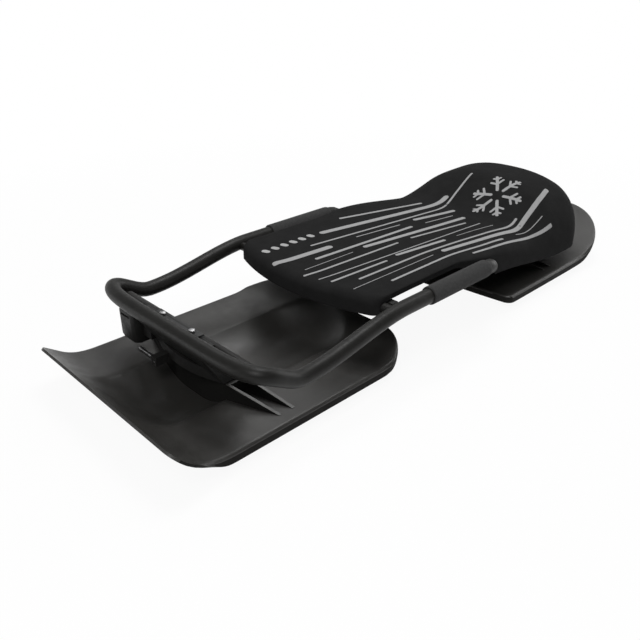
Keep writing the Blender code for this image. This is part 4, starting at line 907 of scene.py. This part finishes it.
def flake_strokes():
    """A six-armed flake of plain bars."""
    centre, stretch = Vector(FLAKE_CENTRE), Vector(FLAKE_STRETCH)
    strokes = []
    for arm in range(6):
        angle = math.pi / 3 * arm + FLAKE_TURN
        out = Vector((math.cos(angle), math.sin(angle)))
        bars = [(FLAKE_ARM_WIDTH, out * FLAKE_HUB, out * FLAKE_RADIUS)]
        for share, length in FLAKE_TWIGS:
            root = out * (FLAKE_RADIUS * share)
            for turn in (FLAKE_TWIG_TURN, -FLAKE_TWIG_TURN):
                twig = Matrix.Rotation(turn, 2) @ out * length
                bars.append((FLAKE_TWIG_WIDTH, root, root + twig))
        strokes += [(width, [centre + start * stretch, centre + end * stretch])
                    for width, start, end in bars]
    return strokes


def striped():
    """The pad's stripes, in metres."""
    return [(width / MM_PER_M, [(x / MM_PER_M, y / MM_PER_M) for x, y in points])
            for width, *points in STRIPES]


def lozenges():
    """A row of plain, leaning lozenges."""
    ys = [LOZENGE_START_Y + LOZENGE_STEP * k for k in range(LOZENGE_COUNT)]
    return [(LOZENGE_WIDTH, [(LOZENGE_X - LOZENGE_HALF_LENGTH, y),
                             (LOZENGE_X + LOZENGE_HALF_LENGTH, y + LOZENGE_LEAN)]) for y in ys]


# Materials

def shader_of(name):
    """A new material, its nodes and links, and its shader."""
    made = bpy.data.materials.new(name)
    made.use_nodes = True
    return made, made.node_tree.nodes, made.node_tree.links, made.node_tree.nodes["Principled BSDF"]


def noise(nodes, links, coordinates, scale, detail):
    """A noise texture in the piece's own metres."""
    made = nodes.new("ShaderNodeTexNoise")
    made.inputs["Scale"].default_value = scale
    made.inputs["Detail"].default_value = detail
    links.new(coordinates.outputs["Object"], made.inputs["Vector"])
    return made.outputs["Fac"]


def ramped(nodes, links, value, low, high, to_low, to_high):
    """A value moved from one range to another, and held within it."""
    made = nodes.new("ShaderNodeMapRange")
    for socket, number in (("From Min", low), ("From Max", high),
                           ("To Min", to_low), ("To Max", to_high)):
        made.inputs[socket].default_value = number
    links.new(value, made.inputs["Value"])
    return made.outputs["Result"]


def mixed(nodes, links, factor, *pair):
    """Two plain colours, mixed by a factor."""
    made = nodes.new("ShaderNodeMix")
    made.data_type = "RGBA"
    links.new(factor, made.inputs["Factor"])
    for socket, colour in zip([s for s in made.inputs if s.type == "RGBA"], pair):
        socket.default_value = (*colour, 1.0)
    return next(s for s in made.outputs if s.type == "RGBA")


def finish_of(name, dark, light, roughness, grain, mottle, metallic=0.0, specular=0.5, sheen=0.0):
    """A surface with a slow change of tone, uneven gloss and a fine relief.

    roughness is its low and high value. grain is the relief's scale and its depth in metres.
    mottle is the scale of the change of tone.
    """
    made, nodes, links, shader = shader_of(name)
    coordinates = nodes.new("ShaderNodeTexCoord")
    slow = noise(nodes, links, coordinates, mottle, TONE_DETAIL)
    fine = noise(nodes, links, coordinates, grain[0], FINE_DETAIL)
    uneven = noise(nodes, links, coordinates, mottle * GLOSS_TO_TONE, FINE_DETAIL)
    tone = mixed(nodes, links, ramped(nodes, links, slow, *TONE_SPAN, 0.0, 1.0), dark, light)
    links.new(tone, shader.inputs["Base Color"])
    gloss = ramped(nodes, links, uneven, *GLOSS_SPAN, *roughness)
    links.new(gloss, shader.inputs["Roughness"])
    bump = nodes.new("ShaderNodeBump")
    bump.inputs["Distance"].default_value = grain[1]
    bump.inputs["Strength"].default_value = 1.0
    links.new(fine, bump.inputs["Height"])
    links.new(bump.outputs["Normal"], shader.inputs["Normal"])
    shader.inputs["Metallic"].default_value = metallic
    shader.inputs["Specular IOR Level"].default_value = specular
    shader.inputs["Sheen Weight"].default_value = sheen
    shader.inputs["Sheen Roughness"].default_value = SHEEN_ROUGHNESS
    return made


FINISHES = {
    "ski_plastic": dict(dark=(0.0225, 0.0216, 0.0200), light=(0.0295, 0.0284, 0.0262),
                        roughness=(0.36, 0.46), grain=(2600.0, 0.00006), mottle=9.0,
                        specular=0.62),
    # A darker, less glossy copy of ski_plastic: painted shade on the ski faces that look sideways
    # or down
    "ski_painted_shade": dict(dark=(0.0120, 0.0116, 0.0108), light=(0.0165, 0.0160, 0.0150),
                     roughness=(0.55, 0.68), grain=(2600.0, 0.00006), mottle=9.0, specular=0.08),
    "black_tube": dict(dark=(0.0115, 0.0113, 0.0105), light=(0.0160, 0.0156, 0.0146),
                       roughness=(0.38, 0.48), grain=(900.0, 0.00005), mottle=30.0,
                       specular=0.20),
    "foam_grip": dict(dark=(0.035, 0.035, 0.035), light=(0.044, 0.044, 0.044),
                      roughness=(0.80, 0.95), grain=(1500.0, 0.00025), mottle=220.0,
                      specular=0.12, sheen=0.05),
    "foam_pad": dict(dark=(0.0136, 0.0136, 0.0137), light=(0.0164, 0.0164, 0.0165),
                     roughness=(0.82, 0.94), grain=(1800.0, 0.00008), mottle=40.0, specular=0.05),
    "stripe_print": dict(dark=(0.315, 0.315, 0.317), light=(0.350, 0.350, 0.352),
                         roughness=(0.70, 0.82), grain=(1800.0, 0.00005), mottle=260.0,
                         specular=0.12),
    "pale_print": dict(dark=(0.34, 0.34, 0.34), light=(0.42, 0.42, 0.42),
                       roughness=(0.70, 0.82), grain=(1800.0, 0.00005), mottle=260.0,
                       specular=0.12),
    "black_moulding": dict(dark=(0.0125, 0.0123, 0.0118), light=(0.0180, 0.0177, 0.0170),
                           roughness=(0.42, 0.58), grain=(2200.0, 0.00010), mottle=25.0,
                           specular=0.25),
    "dark_plate": dict(dark=(0.018, 0.018, 0.018), light=(0.028, 0.028, 0.028),
                       roughness=(0.32, 0.45), grain=(1200.0, 0.00005), mottle=50.0,
                       metallic=0.2, specular=0.3),
    "bright_fastener": dict(dark=(0.46, 0.46, 0.47), light=(0.62, 0.62, 0.62),
                            roughness=(0.22, 0.38), grain=(1800.0, 0.00003), mottle=160.0,
                            metallic=1.0),
    "gate_metal": dict(dark=(0.16, 0.16, 0.165), light=(0.34, 0.34, 0.34),
                       roughness=(0.26, 0.42), grain=(1500.0, 0.00004), mottle=120.0,
                       metallic=1.0),
    "pale_bearing": dict(dark=(0.52, 0.51, 0.47), light=(0.60, 0.59, 0.55),
                         roughness=(0.40, 0.55), grain=(1500.0, 0.00004), mottle=60.0),
}
LOOKS = {name: finish_of(name, **values) for name, values in FINISHES.items()}


def smoothing_group():
    """Node group that welds a CAD mesh and shades its round faces smooth."""
    group = bpy.data.node_groups.new("smooth_faces", "GeometryNodeTree")
    group.interface.new_socket("Geometry", in_out="INPUT", socket_type="NodeSocketGeometry")
    group.interface.new_socket("Geometry", in_out="OUTPUT", socket_type="NodeSocketGeometry")
    nodes, links = group.nodes, group.links
    start, end = nodes.new("NodeGroupInput"), nodes.new("NodeGroupOutput")
    weld = nodes.new("GeometryNodeMergeByDistance")
    weld.inputs["Distance"].default_value = WELD
    soft = nodes.new("GeometryNodeSetShadeSmooth")
    hard = nodes.new("GeometryNodeSetShadeSmooth")
    hard.domain = "EDGE"
    hard.inputs["Shade Smooth"].default_value = False
    angle = nodes.new("GeometryNodeInputMeshEdgeAngle")
    steep = nodes.new("ShaderNodeMath")
    steep.operation = "GREATER_THAN"
    steep.inputs[1].default_value = SMOOTH_ANGLE
    links.new(angle.outputs["Unsigned Angle"], steep.inputs[0])
    links.new(steep.outputs["Value"], hard.inputs["Selection"])
    links.new(start.outputs[0], weld.inputs["Geometry"])
    links.new(weld.outputs["Geometry"], soft.inputs["Geometry"])
    links.new(soft.outputs["Geometry"], hard.inputs["Geometry"])
    links.new(hard.outputs["Geometry"], end.inputs[0])
    return group


SMOOTHING = smoothing_group()


def dress(piece, look):
    """Give a piece one of the looks alone."""
    piece.data.materials.clear()
    piece.data.materials.append(LOOKS[look])
    return piece


def dress_node(name, look):
    """Give a CAD node its material, soft edges and smooth round faces."""
    node = dress(NODES[name], look)
    weld = node.modifiers.new("weld", "WELD")
    weld.merge_threshold = WELD
    bevel = node.modifiers.new("soft edges", "BEVEL")
    bevel.width = SOFT_EDGE
    bevel.segments = 2
    bevel.limit_method = "ANGLE"
    bevel.angle_limit = SOFT_EDGE_ANGLE
    node.modifiers.new("smooth", "NODES").node_group = SMOOTHING


def paint_ski_shade(piece):
    """Give the faces that look sideways or down a darker, less glossy copy of the ski's plastic:
    painted shade.
    """
    piece.data.materials.append(LOOKS["ski_painted_shade"])
    for face in piece.data.polygons:
        if face.normal.z < SKI_SHADE_FACING:
            face.material_index = 1


def stand_for(piece, node, body, slot_name):
    """Dress a finer piece and put it in place of a CAD node."""
    dress(piece, slot_name)
    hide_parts(node)
    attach(piece, body)


# The pieces

def make_skis():
    """Both skis, with bores for the kingpin, the stop pin and the rear bolts."""
    front = (front_ski_plan, front_ski_top, front_lip, FRONT_MOUNT_Y - FRONT_END + FRONT_SKI_TAIL)
    rear = (rear_ski_plan, rear_ski_top, rear_lip, REAR_END - REAR_MOUNT_Y + REAR_SKI_LEAD)
    front_hubs = [(0.0, HUB_RADIUS), (STOP_PIN_REACH, STOP_BOSS_RADIUS)]
    rear_hubs = [(-REAR_BOLT_X, REAR_HUB_RADIUS), (REAR_BOLT_X, REAR_HUB_RADIUS)]
    stop = (STOP_PIN_REACH, STOP_PIN_LOW - TOUCH_GAP, STOP_PIN_RADIUS)
    steering = ski("front_ski_shown", front, FRONT_MOUNT_Y, front_hubs, [0.0], [stop])
    stand_for(steering, "front_ski", "steering_ski", "ski_plastic")
    # The sides of each ski get the darker copy of its plastic, painted shade
    paint_ski_shade(steering)
    fixed = ski("rear_ski_shown", rear, REAR_MOUNT_Y, rear_hubs, [-REAR_BOLT_X, REAR_BOLT_X])
    stand_for(fixed, "rear_ski", "frame", "ski_plastic")
    paint_ski_shade(fixed)


def make_frame_and_grips():
    loop = shade(tube_loop("frame_loop", frame_points(), TUBE_RADIUS), angle=60)
    stand_for(loop, "frame_tube", "frame", "black_tube")
    stand_for(grip("left_sleeve", 1), "left_grip", "frame", "foam_grip")
    stand_for(grip("right_sleeve", -1), "right_grip", "frame", "foam_grip")


def make_seat():
    """The pad, the shell and the prints that lie on the pad."""
    pad, shell = seat()
    stand_for(pad, "seat_pad", "frame", "foam_pad")
    stand_for(shell, "seat_shell", "frame", "black_moulding")
    surface = BVHTree.FromPolygons([v.co.copy() for v in pad.data.vertices],
                                   [tuple(p.vertices) for p in pad.data.polygons])
    for name, strokes, look in (("pad_stripes", striped(), "stripe_print"),
                                ("pad_flake", flake_strokes(), "stripe_print"),
                                ("pad_marks", lozenges(), "pale_print")):
        piece = dress(prints(name, surface, strokes), look)
        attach(piece, "frame")


def dress_nodes():
    """Dress every CAD node that is still shown, by its material slot."""
    slots = {row["node"]: row["material_slot"] for row in frame["record"]["subparts"]}
    for name, node in NODES.items():
        if not node.hide_render:
            dress_node(name, slots[name])


# Room, light and camera

def math_node(nodes, links, operation, first, second):
    """The result of an operation on two values, each a socket or a number."""
    node = nodes.new("ShaderNodeMath")
    node.operation = operation
    for socket, value in zip(node.inputs, (first, second)):
        if isinstance(value, float):
            socket.default_value = value
        else:
            links.new(value, socket)
    return node.outputs["Value"]


def white_share(nodes, links, reflected):
    """1 where the camera sees the surface, and the reflected share in metal, gloss and glass."""
    path = nodes.new("ShaderNodeLightPath")
    mirrored = math_node(nodes, links, "MAXIMUM", path.outputs["Is Glossy Ray"],
                         path.outputs["Is Transmission Ray"])
    part = math_node(nodes, links, "MULTIPLY", mirrored, reflected)
    return math_node(nodes, links, "MAXIMUM", path.outputs["Is Camera Ray"], part)


def make_world():
    """A dim world that looks white to the camera and a little grey in gloss."""
    world = bpy.data.worlds.new("room")
    bpy.context.scene.world = world
    world.use_nodes = True
    nodes, links = world.node_tree.nodes, world.node_tree.links
    background = nodes["Background"]
    background.inputs["Color"].default_value = (1.0, 1.0, 1.0, 1.0)
    share = white_share(nodes, links, SKY_REFLECTED)
    strength = ramped(nodes, links, share, 0.0, 1.0, WORLD_LEVEL, 1.0)
    links.new(strength, background.inputs["Strength"])


def make_floor():
    """A white floor that keeps a little of the sled's shadow near the sled."""
    shape = bmesh.new()
    bmesh.ops.create_grid(shape, x_segments=1, y_segments=1, size=FLOOR_HALF)
    floor = from_bmesh("floor", shape)
    floor.location.z = FLOOR_Z
    made, nodes, links, shader = shader_of("floor")
    shader.inputs["Base Color"].default_value = FLOOR_COLOUR
    shader.inputs["Roughness"].default_value = FLOOR_ROUGHNESS
    shader.inputs["Specular IOR Level"].default_value = 0.0
    glow = nodes.new("ShaderNodeEmission")
    coordinates = nodes.new("ShaderNodeTexCoord")
    away = nodes.new("ShaderNodeVectorMath")
    away.operation = "LENGTH"
    links.new(coordinates.outputs["Object"], away.inputs[0])
    level = ramped(nodes, links, away.outputs["Value"], SHADOW_NEAR, SHADOW_FAR, SHADOW_WHITE, 1.0)
    share = math_node(nodes, links, "MULTIPLY", white_share(nodes, links, 1.0), level)
    mix = nodes.new("ShaderNodeMixShader")
    links.new(share, mix.inputs["Fac"])
    links.new(shader.outputs["BSDF"], mix.inputs[1])
    links.new(glow.outputs["Emission"], mix.inputs[2])
    links.new(mix.outputs["Shader"], nodes["Material Output"].inputs["Surface"])
    floor.data.materials.append(made)


def make_lamps():
    for name, (place, size, power) in LAMPS.items():
        light = bpy.data.lights.new(name, "AREA")
        light.shape = "RECTANGLE"
        light.size, light.size_y = size
        light.energy = power
        piece = bpy.data.objects.new(name, light)
        bpy.context.scene.collection.objects.link(piece)
        piece.location = place
        aim = Vector(LAMP_AIM) - Vector(place)
        piece.rotation_euler = aim.to_track_quat("-Z", "Y").to_euler()


def make_camera():
    data = bpy.data.cameras.new("camera")
    data.lens = CAMERA_LENS
    camera = bpy.data.objects.new("camera", data)
    bpy.context.scene.collection.objects.link(camera)
    camera.location = CAMERA_PLACE
    camera.rotation_euler = (CAMERA_TILT, 0.0, CAMERA_TURN)
    bpy.context.scene.camera = camera


make_camera()
make_skis()
make_frame_and_grips()
make_seat()
dress_nodes()
make_world()
make_floor()
make_lamps()
bpy.context.scene.view_settings.view_transform = "Standard"
